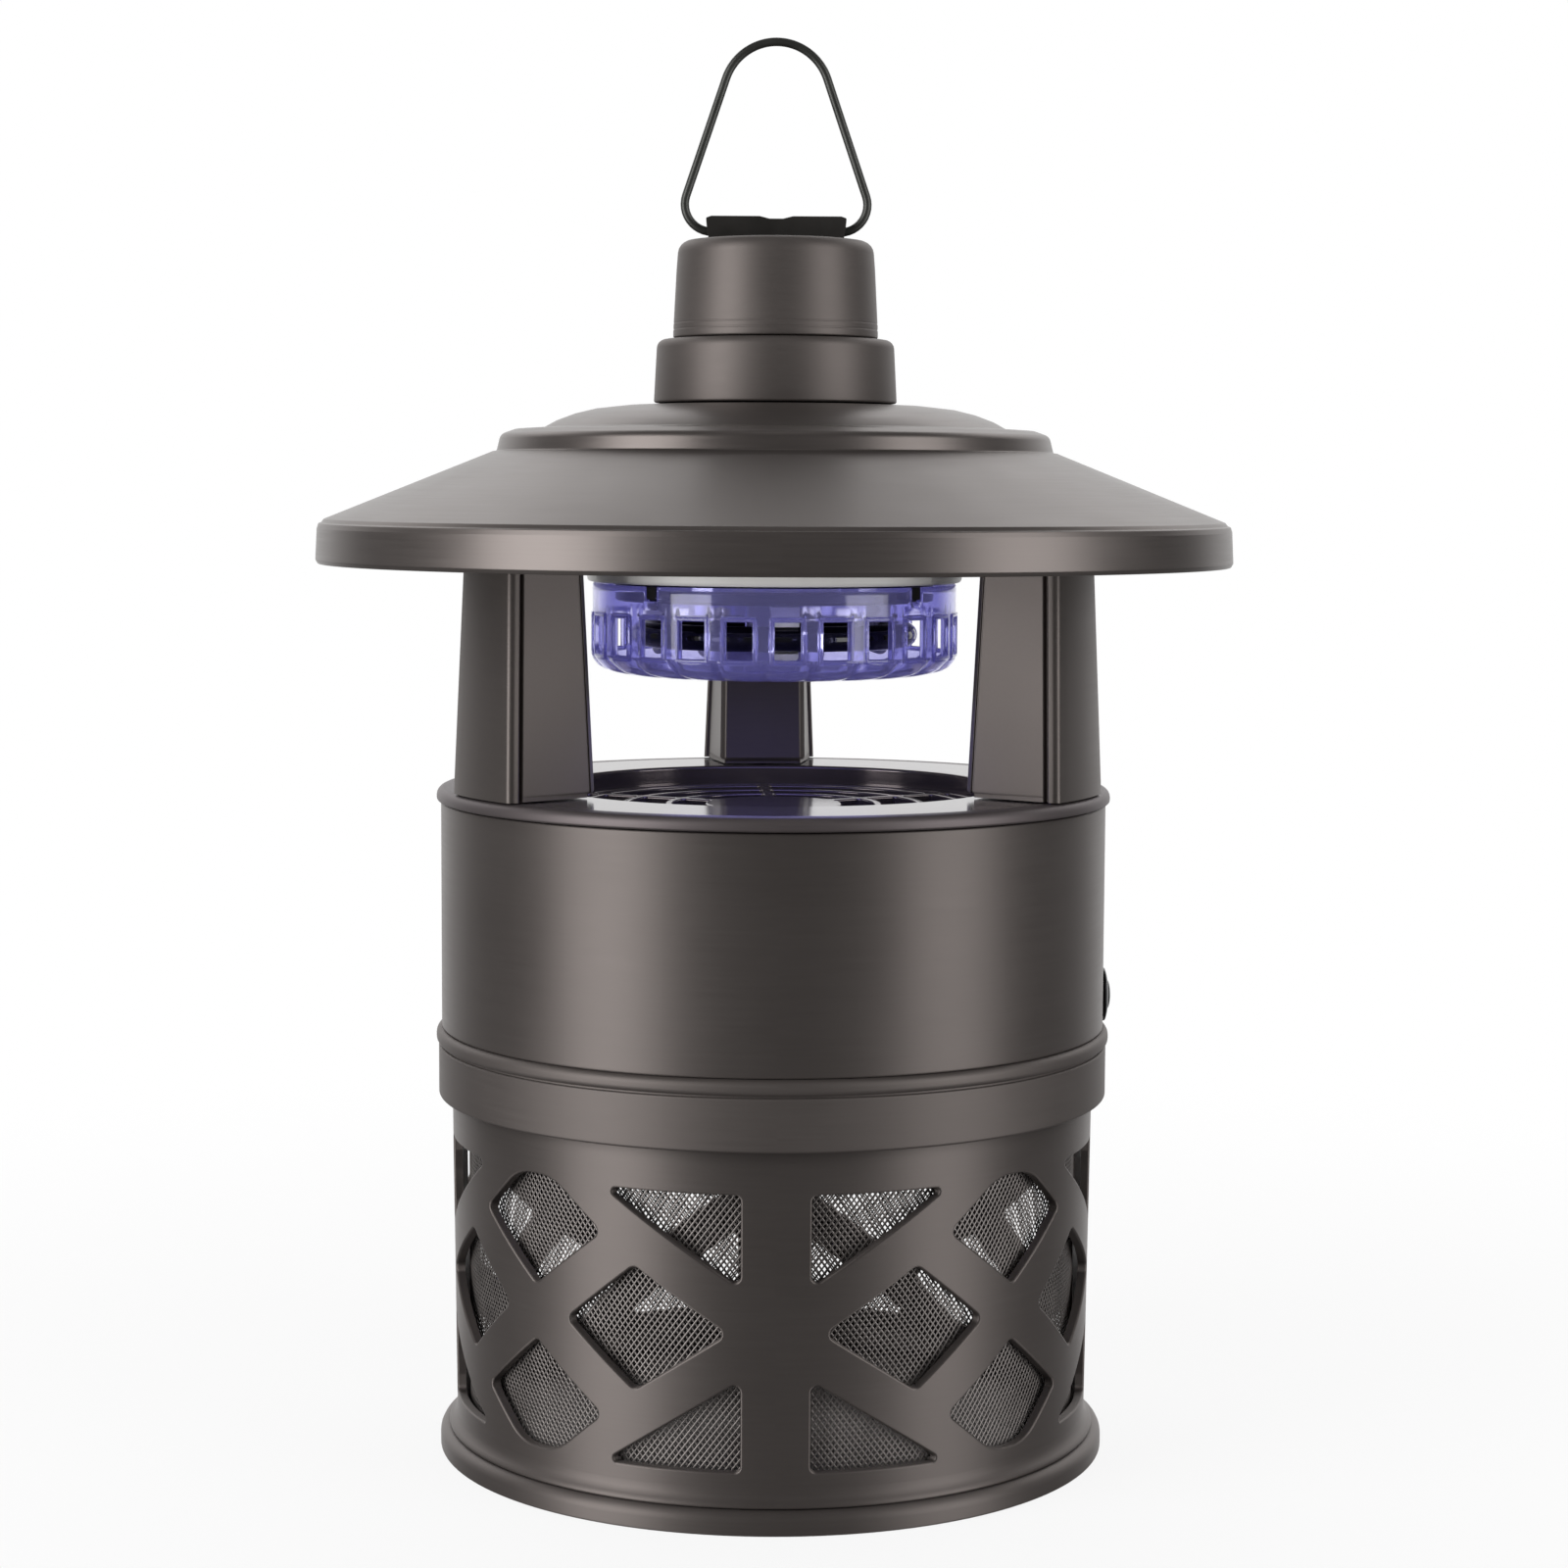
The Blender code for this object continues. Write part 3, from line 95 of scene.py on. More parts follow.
BRACKET_HALF = high("loop_bracket").x
LOOP_TOP = high("hang_loop").z
SWITCH_HEIGHT = (low("switch_button").z + high("switch_button").z) / 2
INLET_HEIGHT = (low("power_inlet").z + high("power_inlet").z) / 2

# Angles of the parts about the axis, degrees
HEAD_TURN = 2.1
GUARD_TURN = 3.4
POST_AZIMUTHS = {"post_front_right": 61.2, "post_back": 180.0, "post_front_left": 298.8}
KEY_AZIMUTHS = (45.0, 135.0, 225.0, 315.0)

# Lattice cage
CAGE_FOOT_RADIUS = 71.2
CAGE_TOP_RADIUS = 72.1
WALL = 2.0
WINDOW_MIDDLE = 41.6
WINDOW_HALF = 29.3
LATTICE_RADIUS = 71.7
LATTICE_FOOT = BASE_HEIGHT + 4.0
PANELS = 4

# Roof, lamp guard and loop
ROOF_SLOPE = 0.402
GUARD_RADIUS = 41.0
GUARD_BAND_RADIUS = 40.6
GUARD_WINDOWS = 24
WIRE_RADIUS = 0.95
PIVOT_HEIGHT = 272.0
LOOP_ARCH_RADIUS = 11.8
LOOP_CORNER_RADIUS = 6.0
LOOP_CORNER_X = 14.2


# ------------------------------------------------------------ shape helpers

def polar(radius, azimuth, height):
    angle = math.radians(azimuth)
    return Vector((radius * math.sin(angle), -radius * math.cos(angle), height))


def rounded(outline, steps=5):
    """A closed outline whose corners given as (a, b, radius) become arcs."""
    points = []
    count = len(outline)
    for index, corner in enumerate(outline):
        here = Vector(corner[:2])
        if len(corner) == 2:
            points.append(tuple(here))
            continue
        to_last = (Vector(outline[index - 1][:2]) - here).normalized()
        to_next = (Vector(outline[(index + 1) % count][:2]) - here).normalized()
        half = to_last.angle(to_next) / 2
        centre = here + (to_last + to_next).normalized() * (corner[2] / math.sin(half))
        start = here + to_last * (corner[2] / math.tan(half)) - centre
        end = here + to_next * (corner[2] / math.tan(half)) - centre
        sweep = math.pi - 2 * half
        for step in range(steps + 1):
            part = step / steps
            weight_start = math.sin((1 - part) * sweep) / math.sin(sweep)
            weight_end = math.sin(part * sweep) / math.sin(sweep)
            points.append(tuple(centre + start * weight_start + end * weight_end))
    return points


def spaced(points, longest):
    """A closed flat outline with no side longer than a given length."""
    made = []
    for index, here in enumerate(points):
        after = points[(index + 1) % len(points)]
        count = max(1, math.ceil((Vector(after) - Vector(here)).length / longest))
        for step in range(count):
            made.append(tuple(Vector(here).lerp(Vector(after), step / count)))
    return made


def grown(points, distance):
    """A closed anticlockwise outline moved outwards by a distance."""
    made = []
    for index, here in enumerate(points):
        before = Vector(points[index - 1])
        after = Vector(points[(index + 1) % len(points)])
        along = (after - before).normalized()
        made.append(tuple(Vector(here) + Vector((along.y, -along.x)) * distance))
    return made


def add_object(name, data):
    made = bpy.data.objects.new(name, data)
    bpy.context.scene.collection.objects.link(made)
    return made


def finish_mesh(name, build, sharp=35.0):
    """A piece from a bmesh in millimetres, smooth except at its sharp edges."""
    bmesh.ops.recalc_face_normals(build, faces=build.faces)
    mesh = bpy.data.meshes.new(name)
    build.to_mesh(mesh)
    build.free()
    mesh.transform(Matrix.Scale(MILLIMETRE, 4))
    mesh.shade_smooth()
    mesh.set_sharp_from_angle(angle=math.radians(sharp))
    return add_object(name, mesh)


def add_lathe(build, outline, facets=FACETS):
    """An outline of (radius, height) turned about +Z. It is closed, unless it
    starts on the axis."""
    rings = []
    for radius, height in outline:
        if radius == 0:
            rings.append([build.verts.new((0, 0, height))] * facets)
        else:
            rings.append([build.verts.new(polar(radius, 360 * step / facets, height))
                          for step in range(facets)])
    pairs = list(zip(rings, rings[1:]))
    if outline[0][0] > 0:
        pairs.append((rings[-1], rings[0]))
    for near, far in pairs:
        for step in range(facets):
            after = (step + 1) % facets
            corners = [near[step], near[after], far[after], far[step]]
            build.faces.new(list(dict.fromkeys(corners)))


def lathe(name, outline, facets=FACETS):
    build = bmesh.new()
    add_lathe(build, outline, facets)
    return finish_mesh(name, build)


def add_loft(build, sections):
    """A solid through closed sections that all have as many points."""
    rings = [[build.verts.new(point) for point in section] for section in sections]
    count = len(rings[0])
    for near, far in zip(rings, rings[1:]):
        for index in range(count):
            after = (index + 1) % count
            build.faces.new((near[index], near[after], far[after], far[index]))
    build.faces.new(rings[0])
    build.faces.new(list(reversed(rings[-1])))


def blocks(groups):
    """A bmesh of lofted blocks, each given by its sections."""
    build = bmesh.new()
    for sections in groups:
        add_loft(build, sections)
    return build


def loft(name, sections):
    return finish_mesh(name, blocks([sections]))


def turned(points, azimuth):
    """Points drawn in a frame whose +X points outwards, turned to an azimuth."""
    turn = Matrix.Rotation(math.radians(azimuth - 90), 3, "Z")
    return [turn @ Vector(point) for point in points]


def lay_along_x(made, height, turn=0.0):
    """Lay a turned piece's axis along +X at a height, then turn it about +Z. Its
    points move and its origin stays."""
    aim = Matrix.Rotation(math.radians(turn), 4, "Z")
    lift = Matrix.Translation((0, 0, height * MILLIMETRE))
    made.data.transform(lift @ aim @ Matrix.Rotation(math.pi / 2, 4, "Y"))
    return made


def modified(made, name, kind, **settings):
    change = made.modifiers.new(name, kind)
    for key, value in settings.items():
        setattr(change, key, value)
    return made


def bevel(made, width, steps=2, angle=40.0):
    return modified(made, "soft_edges", "BEVEL", width=width * MILLIMETRE, segments=steps,
                    limit_method="ANGLE", angle_limit=math.radians(angle),
                    harden_normals=False)


def weighted(made):
    """Let a piece's large faces set the shading beside its small round edges."""
    return modified(made, "even_shading", "WEIGHTED_NORMAL", keep_sharp=True, weight=80)


# --------------------------------------------------------------- materials

class Nodes:
    """A short way to write a node tree."""

    def __init__(self, tree):
        self.tree = tree

    def link(self, source, target):
        self.tree.links.new(source, target)

    def add(self, kind, **settings):
        made = self.tree.nodes.new(kind)
        for key, value in settings.items():
            setattr(made, key, value)
        return made

    def math(self, operation, *values):
        made = self.add("ShaderNodeMath", operation=operation)
        for socket, value in zip(made.inputs, values):
            if isinstance(value, (int, float)):
                socket.default_value = value
            else:
                self.link(value, socket)
        return made.outputs[0]

    def ramp(self, source, start, end, first, last, **settings):
        """A value that goes from first to last while the source goes from start
        to end."""
        made = self.add("ShaderNodeMapRange", **settings)
        for socket, value in (("From Min", start), ("From Max", end), ("To Min", first),
                              ("To Max", last)):
            made.inputs[socket].default_value = value
        self.link(source, made.inputs["Value"])
        return made.outputs["Result"]


class Surface(Nodes):
    """The node tree of a new material."""

    def __init__(self, name):
        self.material = bpy.data.materials.new(name)
        self.material.use_nodes = True
        super().__init__(self.material.node_tree)
        self.shader = self.tree.nodes["Principled BSDF"]

    def set(self, **values):
        """Fixed values for the shader."""
        for key, value in values.items():
            self.shader.inputs[key.replace("_", " ")].default_value = value

    def feed(self, **sources):
        """Textures for the shader."""
        for key, source in sources.items():
            self.link(source, self.shader.inputs[key.replace("_", " ")])

    def place(self):
        return self.add("ShaderNodeTexCoord").outputs["Object"]

    def length(self, vector):
        made = self.add("ShaderNodeVectorMath", operation="LENGTH")
        self.link(vector, made.inputs[0])
        return made.outputs["Value"]

    def noise(self, vector, scale, detail=2.0, roughness=0.5):
        made = self.add("ShaderNodeTexNoise")
        made.inputs["Scale"].default_value = scale
        made.inputs["Detail"].default_value = detail
        made.inputs["Roughness"].default_value = roughness
        self.link(vector, made.inputs["Vector"])
        return made.outputs["Fac"]

    def spread(self, value, lowest, highest):
        """The middle of a noise's values spread between two limits."""
        return self.ramp(value, 0.3, 0.7, lowest, highest)

    def mix(self, factor, first, second):
        made = self.add("ShaderNodeMix", data_type="RGBA")
        made.inputs["A"].default_value = (*first, 1.0)
        made.inputs["B"].default_value = (*second, 1.0)
        self.link(factor, made.inputs["Factor"])
        return made.outputs["Result"]

    def bump(self, height, strength, distance, under=None):
        made = self.add("ShaderNodeBump")
        made.inputs["Strength"].default_value = strength
        made.inputs["Distance"].default_value = distance * MILLIMETRE
        self.link(height, made.inputs["Height"])
        if under:
            self.link(under, made.inputs["Normal"])
        return made.outputs["Normal"]


def around(nodes, along, across):
    """Coordinates that run round the axis, so that a noise read from them makes
    lines along the circumference: long one way, fine the other."""
    split = nodes.add("ShaderNodeSeparateXYZ")
    nodes.link(nodes.place(), split.inputs[0])
    x, y, z = split.outputs
    angle = nodes.math("ARCTAN2", x, y)
    radius = nodes.math("SQRT", nodes.math("ADD", nodes.math("MULTIPLY", x, x),
                                           nodes.math("MULTIPLY", y, y)))
    joined = nodes.add("ShaderNodeCombineXYZ")
    nodes.link(nodes.math("MULTIPLY", angle, along), joined.inputs[0])
    nodes.link(nodes.math("MULTIPLY", z, across), joined.inputs[1])
    nodes.link(nodes.math("MULTIPLY", radius, across), joined.inputs[2])
    return joined.outputs[0]


def painted(name, dark, light, roughness, metallic, stretch=0.72, inner_radius=0.0, gloss=0.0,
            relief=0.1):
    """Moulded plastic in a satin metallic paint, turned on a lathe: fine lines
    round the axis spread its highlights up and down. Slow mottling and a very fine
    grain break them up. Inside inner_radius, which is in metres, its roughness is
    multiplied by gloss."""
    nodes = Surface(name)
    lines = nodes.noise(around(nodes, 4.0, 1500.0), 1.0, 3.0, 0.6)
    mottle = nodes.noise(nodes.place(), 38.0, 3.0)
    grain = nodes.noise(nodes.place(), 2600.0, 1.0)
    tone = nodes.math("ADD", nodes.math("MULTIPLY", lines, 0.45),
                      nodes.math("MULTIPLY", mottle, 0.55))
    rough = nodes.math("ADD", nodes.spread(lines, -0.02, 0.02),
                       nodes.spread(mottle, roughness - 0.02, roughness + 0.02))
    if inner_radius:
        flat = nodes.add("ShaderNodeVectorMath", operation="MULTIPLY")
        flat.inputs[1].default_value = (1, 1, 0)
        nodes.link(nodes.place(), flat.inputs[0])
        edge = nodes.ramp(nodes.length(flat.outputs[0]), inner_radius, inner_radius + 0.002,
                          gloss, 1.0)
        rough = nodes.math("MULTIPLY", rough, edge)
    fine = nodes.bump(grain, relief, 0.02)
    tangent = nodes.add("ShaderNodeTangent", direction_type="RADIAL", axis="Z")
    nodes.feed(Base_Color=nodes.mix(nodes.spread(tone, 0.0, 1.0), dark, light), Roughness=rough,
               Normal=nodes.bump(lines, relief, 0.03, fine), Tangent=tangent.outputs[0])
    nodes.set(Metallic=metallic, Anisotropic=stretch, Anisotropic_Rotation=0.25)
    return nodes.material


def moulded(name, dark, light, roughness, metallic=0.0):
    """Plain moulded or machined stuff: mottled colour and a fine grain."""
    nodes = Surface(name)
    mottle = nodes.noise(nodes.place(), 120.0, 4.0)
    grain = nodes.noise(nodes.place(), 1800.0, 2.0)
    nodes.feed(Base_Color=nodes.mix(nodes.spread(mottle, 0.0, 1.0), dark, light),
               Roughness=nodes.spread(mottle, roughness - 0.04, roughness + 0.04),
               Normal=nodes.bump(grain, 0.15, 0.03))
    nodes.set(Metallic=metallic)
    return nodes.material


def tinted_with_painted_glow(name, dark, light, roughness, transmission, glow):
    """Clear moulded plastic with a violet tint. Its faint violet emission, set by glow, is a
    painted glow that stands in for the lamp's light; the plastic itself is no lamp."""
    nodes = Surface(name)
    mottle = nodes.noise(nodes.place(), 90.0, 3.0)
    nodes.feed(Base_Color=nodes.mix(nodes.spread(mottle, 0.0, 1.0), dark, light),
               Roughness=nodes.spread(mottle, roughness, roughness + 0.04),
               Normal=nodes.bump(mottle, 0.1, 0.2))
    # The emission below is a painted glow: violet light painted onto the plastic
    nodes.set(IOR=1.49, Transmission_Weight=transmission, Specular_IOR_Level=0.6,
              Emission_Color=(0.30, 0.28, 0.95, 1.0), Emission_Strength=glow)
    return nodes.material


def wound(name, dark, light):
    """Enamelled copper wire, wound in fine turns up the coil."""
    nodes = Surface(name)
    wave = nodes.add("ShaderNodeTexWave", bands_direction="Z")
    wave.inputs["Scale"].default_value = 900.0
    nodes.link(nodes.place(), wave.inputs["Vector"])
    nodes.feed(Base_Color=nodes.mix(wave.outputs["Fac"], dark, light),
               Normal=nodes.bump(wave.outputs["Fac"], 0.5, 0.2))
    nodes.set(Metallic=0.9, Roughness=0.35)
    return nodes.material


def make_materials():
    bronze = ((0.137, 0.1195, 0.1125), (0.157, 0.138, 0.130))
    return {
        "bronze": painted("bronze_paint", *bronze, 0.53, 0.8),
        "roof": painted("roof_paint", *bronze, 0.37, 0.8, stretch=0.2),
        "cap": painted("cap_paint", *bronze, 0.56, 0.8, stretch=0.3),
        "deck": painted("deck_paint", (0.128, 0.110, 0.112), (0.146, 0.126, 0.128), 0.50, 0.75,
                        stretch=0.3, inner_radius=0.0695, gloss=0.30, relief=0.01),
        "dark": moulded("dark_enamel", (0.022, 0.020, 0.018), (0.034, 0.031, 0.029), 0.42, 0.3),
        "wire": moulded("dark_wire", (0.045, 0.046, 0.042), (0.070, 0.071, 0.066), 0.36, 0.6),
        "screen": moulded("screen_wire", (0.17, 0.153, 0.146), (0.24, 0.218, 0.208), 0.40, 0.7),
        "black": moulded("black_plastic", (0.010, 0.010, 0.011), (0.017, 0.017, 0.018), 0.3),
        # glow gives the violet guard a painted glow, which is emission standing in for lamp light
        "violet": tinted_with_painted_glow("violet_plastic", (0.52, 0.51, 0.88), (0.60, 0.59, 0.94), 0.05,
                         transmission=0.88, glow=0.035),
        "white": moulded("white_plastic", (0.90, 0.89, 0.86), (0.94, 0.93, 0.90), 0.42),
        "glass": moulded("dark_lamp_glass", (0.003, 0.003, 0.006), (0.006, 0.005, 0.012), 0.08),
        "steel": moulded("plated_steel", (0.45, 0.45, 0.44), (0.60, 0.60, 0.59), 0.3, 1.0),
        "brass": moulded("sintered_bronze", (0.42, 0.29, 0.13), (0.58, 0.41, 0.20), 0.45, 1.0),
        "copper": wound("copper_winding", (0.30, 0.12, 0.05), (0.62, 0.29, 0.12)),
        "board": moulded("circuit_board", (0.015, 0.09, 0.035), (0.03, 0.15, 0.06), 0.4),
        "rubber": moulded("seal_rubber", (0.012, 0.012, 0.012), (0.024, 0.024, 0.024), 0.75),
        "lead": moulded("lead_insulation", (0.02, 0.02, 0.022), (0.035, 0.035, 0.038), 0.5),
    }


MATERIALS = make_materials()


def keep(made, material_name, body, slot, *nodes):
    """Give a piece its material, its body and the solids that it stands for."""
    made.data.materials.clear()
    made.data.materials.append(MATERIALS[material_name])
    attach(made, body)
    if nodes:
        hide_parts(*nodes)
    return made


# -------------------------------------------------------- pierced sheets

def inside(point, outline):
    """Whether a flat point lies inside a closed outline."""
    x, y = point
    found = False
    for index, (x1, y1) in enumerate(outline):
        x2, y2 = outline[index - 1]
        if (y1 > y) != (y2 > y) and x < (x2 - x1) * (y - y1) / (y2 - y1) + x1:
            found = not found
    return found


def triangles(border, holes, grid):
    """A flat border filled with triangles, apart from its holes, with the grid's
    points among their corners. Gives the points and the triangles."""
    points = [Vector(point) for point in border]
    edges = [(index, (index + 1) % len(border)) for index in range(len(border))]
    for hole in holes:
        first = len(points)
        points += [Vector(point) for point in hole]
        edges += [(first + index, first + (index + 1) % len(hole)) for index in range(len(hole))]
    margins = [grown(hole, 0.5) for hole in holes]
    points += [Vector(point) for point in grid
               if not any(inside(point, margin) for margin in margins)]
    made, _, faces, _, _, _ = geometry.delaunay_2d_cdt(points, edges, [], 0, 1e-5)
    kept = []
    for face in faces:
        middle = sum((made[index] for index in face), Vector((0, 0))) / len(face)
        if inside(middle, border) and not any(inside(middle, hole) for hole in holes):
            kept.append(face)
    return made, kept


class Sheet:
    """A mesh whose every corner carries its own shading normal."""

    def __init__(self):
        self.points = []
        self.normals = []
        self.faces = []

    def add(self, point, normal):
        self.points.append(point)
        self.normals.append(normal)
        return len(self.points) - 1

    def band(self, near, far, closed=True):
        count = len(near)
        for index in range(count if closed else count - 1):
            after = (index + 1) % count
            self.faces.append((near[index], near[after], far[after], far[index]))

    def make(self, name):
        mesh = bpy.data.meshes.new(name)
        mesh.from_pydata([point * MILLIMETRE for point in self.points], [], self.faces)
        mesh.validate()
        mesh.shade_smooth()
        mesh.normals_split_custom_set_from_vertices(self.normals)
        return add_object(name, mesh)


def add_pierced(sheet, border, holes, grid, thickness, edge, place):
    """A sheet with holes whose front edges are rounded off. place turns a flat
    point, a depth below the front face and a normal's two flat parts and its
    outward part into a point and its normal."""
    wide = [grown(hole, edge) for hole in holes]
    for depth, outlines, side in ((0, wide, 1), (thickness, holes, -1)):
        points, faces = triangles(border, outlines, grid)
        made = [sheet.add(*place(point, depth, (0, 0), side)) for point in points]
        for face in faces:
            order = face if side > 0 else list(reversed(face))
            sheet.faces.append(tuple(made[index] for index in order))
    for hole in holes:
        leans = [(Vector(one) - Vector(other)).normalized()
                 for one, other in zip(hole, grown(hole, edge))]
        rows = []
        for step in range(4):
            angle = math.pi / 2 * step / 3
            inward = edge * (1 - math.sin(angle))
            depth = edge * (1 - math.cos(angle))
            outline = grown(hole, inward)
            rows.append([sheet.add(*place(point, depth, lean * math.sin(angle), math.cos(angle)))
                         for point, lean in zip(outline, leans)])
        rows.append([sheet.add(*place(point, thickness, lean, 0))
                     for point, lean in zip(hole, leans)])
        for near, far in zip(rows, rows[1:]):
            sheet.band(near, far)


# ------------------------------------------------------------------- cage

def flipped(outline, across, up):
    """An outline mirrored across its panel or up and down, still anticlockwise."""
    made = [(corner[0] * across, corner[1] * up, *corner[2:]) for corner in outline]
    return made if across * up > 0 else list(reversed(made))


def lattice_windows():
    """The window outlines of one panel, laid flat."""
    half_panel = math.pi * LATTICE_RADIUS / PANELS
    post_side = 7.4 - half_panel
    triangle = [(post_side, 9.8, 1.3), (-18.7, WINDOW_HALF, 0.9), (post_side, WINDOW_HALF, 1.3)]
    side_diamond = [(-46.3, 0, 1.6), (-25.9, -13.2, 1.6), (-9.0, 0, 1.6), (-25.9, 13.2, 1.6)]
    middle_diamond = [(0, 6.0, 1.3), (18.0, 19.5, 1.6), (5.3, WINDOW_HALF + 0.3, 12.0),
                      (-5.3, WINDOW_HALF + 0.3, 12.0), (-18.0, 19.5, 1.6)]
    shapes = [middle_diamond, flipped(middle_diamond, 1, -1)]
    shapes += [side_diamond, flipped(side_diamond, -1, 1)]
    shapes += [flipped(triangle, across, up) for across in (1, -1) for up in (1, -1)]
    return [[(along, height + WINDOW_MIDDLE) for along, height in spaced(rounded(shape), 2.4)]
            for shape in shapes]


def wall_radius(height):
    """The cage leans out a little from its foot to its top."""
    part = max(0.0, (height - LATTICE_FOOT) / (CAGE_TOP - LATTICE_FOOT))
    return CAGE_FOOT_RADIUS + (CAGE_TOP_RADIUS - CAGE_FOOT_RADIUS) * part


def cage_edges(foot, top):
    """The strips that close the cage's wall below its foot and above its top. Each
    is given by radius, height and a normal's outward and upward parts."""
    base = BASE_HEIGHT + 0.3
    floor = BASE_HEIGHT - 1.5
    outer = CAGE_FOOT_RADIUS - 0.1
    bore = CAGE_FOOT_RADIUS - WALL
    flare = [(wall_radius(foot), foot, 1, 0.05), (CAGE_FOOT_RADIUS + 0.12, foot - 1, 1, 0.2),
             (CAGE_FOOT_RADIUS + 0.5, foot - 1.9, 1, 0.6), (CAGE_FOOT_RADIUS + 1.1, foot - 2.6, 1, 1),
             (CAGE_FOOT_RADIUS + 1.7, base + 0.7, 1, 0.6), (CAGE_FOOT_RADIUS + 1.8, base + 0.3, 1, 0),
             (CAGE_FOOT_RADIUS + 1.7, base, 0.7, -0.7), (CAGE_FOOT_RADIUS + 1.6, base, 0, -1),
             (outer, base, 0, -1)]
    spigot = [(outer, base, 1, 0), (outer, floor, 1, 0)]
    end = [(outer, floor, 0, -1), (bore, floor, 0, -1)]
    within = [(bore, floor, -1, 0), (bore, foot, -1, 0)]
    brim = [(CAGE_TOP_RADIUS - WALL, top, -1, 0), (CAGE_TOP_RADIUS - WALL, CAGE_TOP, 0, 1),
            (CAGE_TOP_RADIUS - 0.5, CAGE_TOP, 0, 1),
            (CAGE_TOP_RADIUS - 0.15, CAGE_TOP - 0.15, 0.7, 0.7), (wall_radius(top), top, 1, 0)]
    return flare, spigot, end, within, brim


def make_cage_shell():
    half_panel = math.pi * LATTICE_RADIUS / PANELS
    columns = 46
    levels = 30
    foot = LATTICE_FOOT
    top = CAGE_TOP - 0.5
    alongs = [half_panel * (2 * step / columns - 1) for step in range(columns + 1)]
    border = [(along, foot) for along in alongs] + [(along, top) for along in reversed(alongs)]
    grid = [(along, foot + (top - foot) * level / levels)
            for level in range(1, levels) for along in alongs]
    windows = lattice_windows()
    sheet = Sheet()
    for panel in range(PANELS):
        middle = 360 / PANELS * (panel + 0.5)

        def place(point, depth, lean, out):
            azimuth = middle + math.degrees(point[0] / LATTICE_RADIUS)
            radial = polar(1, azimuth, 0)
            tangent = polar(1, azimuth + 90, 0)
            normal = radial * out + tangent * lean[0] + Vector((0, 0, lean[1]))
            return polar(wall_radius(point[1]) - depth, azimuth, point[1]), normal.normalized()

        add_pierced(sheet, border, windows, grid, WALL, 0.5, place)
        for strip in cage_edges(foot, top):
            rows = []
            for radius, height, out, up in strip:
                row = []
                for along in alongs:
                    azimuth = middle + math.degrees(along / LATTICE_RADIUS)
                    normal = (polar(1, azimuth, 0) * out + Vector((0, 0, up))).normalized()
                    row.append(sheet.add(polar(radius, azimuth, height), normal))
                rows.append(row)
            for upper, lower in zip(rows, rows[1:]):
                sheet.band(lower, upper, closed=False)
    return keep(sheet.make("lattice_wall"), "bronze", "cage", "bronze_plastic", "cage_shell")


def make_screen():
    """Two families of slanting strands that cross and leave diamond holes."""
    radius = CAGE_FOOT_RADIUS - WALL - 0.85
    bottom, top = 8.0, WINDOW_MIDDLE + WINDOW_HALF + 5
    hole_width, hole_height = 1.36, 1.80
    strand_section = ((0.19, 0.1), (0, 0), (-0.19, 0.1), (0, 0.24))
    strands = round(2 * math.pi * radius / hole_width)
    turn = math.degrees((top - bottom) * hole_width / hole_height / radius)
    steps = 18
    build = bmesh.new()
    for hand, lift in ((1, 0.0), (-1, 0.07)):
        slope = Vector((hand * hole_width, hole_height)).normalized()
        for strand in range(strands):
            rows = []
            for step in range(steps + 1):
                part = step / steps
                azimuth = 360 * strand / strands + hand * turn * (part - 0.5)
                height = bottom + (top - bottom) * part
                row = []
                for across, depth in strand_section:
                    shift = math.degrees(across * slope.y / radius)
                    row.append(build.verts.new(polar(radius - lift - depth, azimuth + shift,
                                                     height - across * slope.x)))
                rows.append(row)
            for near, far in zip(rows, rows[1:]):
                for index in range(4):
                    after = (index + 1) % 4
                    build.faces.new((near[index], near[after], far[after], far[index]))
            build.faces.new(rows[0])
            build.faces.new(rows[-1])
    for low_edge, high_edge in ((bottom - 1.5, bottom + 0.3), (top - 0.3, top + 1.0)):
        add_lathe(build, [(radius, high_edge), (radius, low_edge), (radius - 0.5, low_edge),
                          (radius - 0.5, high_edge)])
    screen = finish_mesh("insect_screen", build, sharp=70)
    return keep(screen, "screen", "cage", "screen_mesh", "cage_mesh")


def make_base():
    floor = low("cage_shell").z - 0.3
    seat = CAGE_FOOT_RADIUS + 0.3
    foot_ring = 70.5
    outline = rounded([(0, floor), (seat, floor), (seat, BASE_HEIGHT, 0.3),
                       (BASE_RADIUS, BASE_HEIGHT, 2.2), (BASE_RADIUS, 0, 0.5), (foot_ring, 0, 0.5),
                       (foot_ring, floor - 1.6, 0.8), (0, floor - 1.6)])
    tray = weighted(lathe("base_ring", outline))
    return keep(tray, "bronze", "cage", "bronze_plastic", "base_tray")


# ------------------------------------------------------- collar and housing

LEDGE_BOTTOM = CAGE_TOP + 0.3
LEDGE_TOP = LEDGE_BOTTOM + 1.5
LEDGE_RADIUS = 70.8
COLLAR_BORE = 73.0
COLLAR_RADIUS = 75.05
SPIGOT_RADIUS = COLLAR_BORE - 0.6
LUG_AZIMUTHS = (30.0, 150.0, 270.0)
LUG_WIDTH = 14.0
LUG_BOTTOM = 89.0
LUG_TOP = 91.5
LUG_CLEARANCE = 1.2
TWIST = 20.0
SHELL_BOTTOM = COLLAR_TOP + 0.08
TAB_TOP = 136.6         # the duct's screw tabs


def sector(inner, outer, middle, width, bottom, top, steps=10):
    """The two sections of a curved block. middle and width are in degrees."""
    azimuths = [middle + width * (step / steps - 0.5) for step in range(steps + 1)]
    points = [polar(outer, azimuth, 0) for azimuth in azimuths]
    points += [polar(inner, azimuth, 0) for azimuth in reversed(azimuths)]
    return [[Vector((p.x, p.y, z)) for p in points] for z in (bottom, top)]


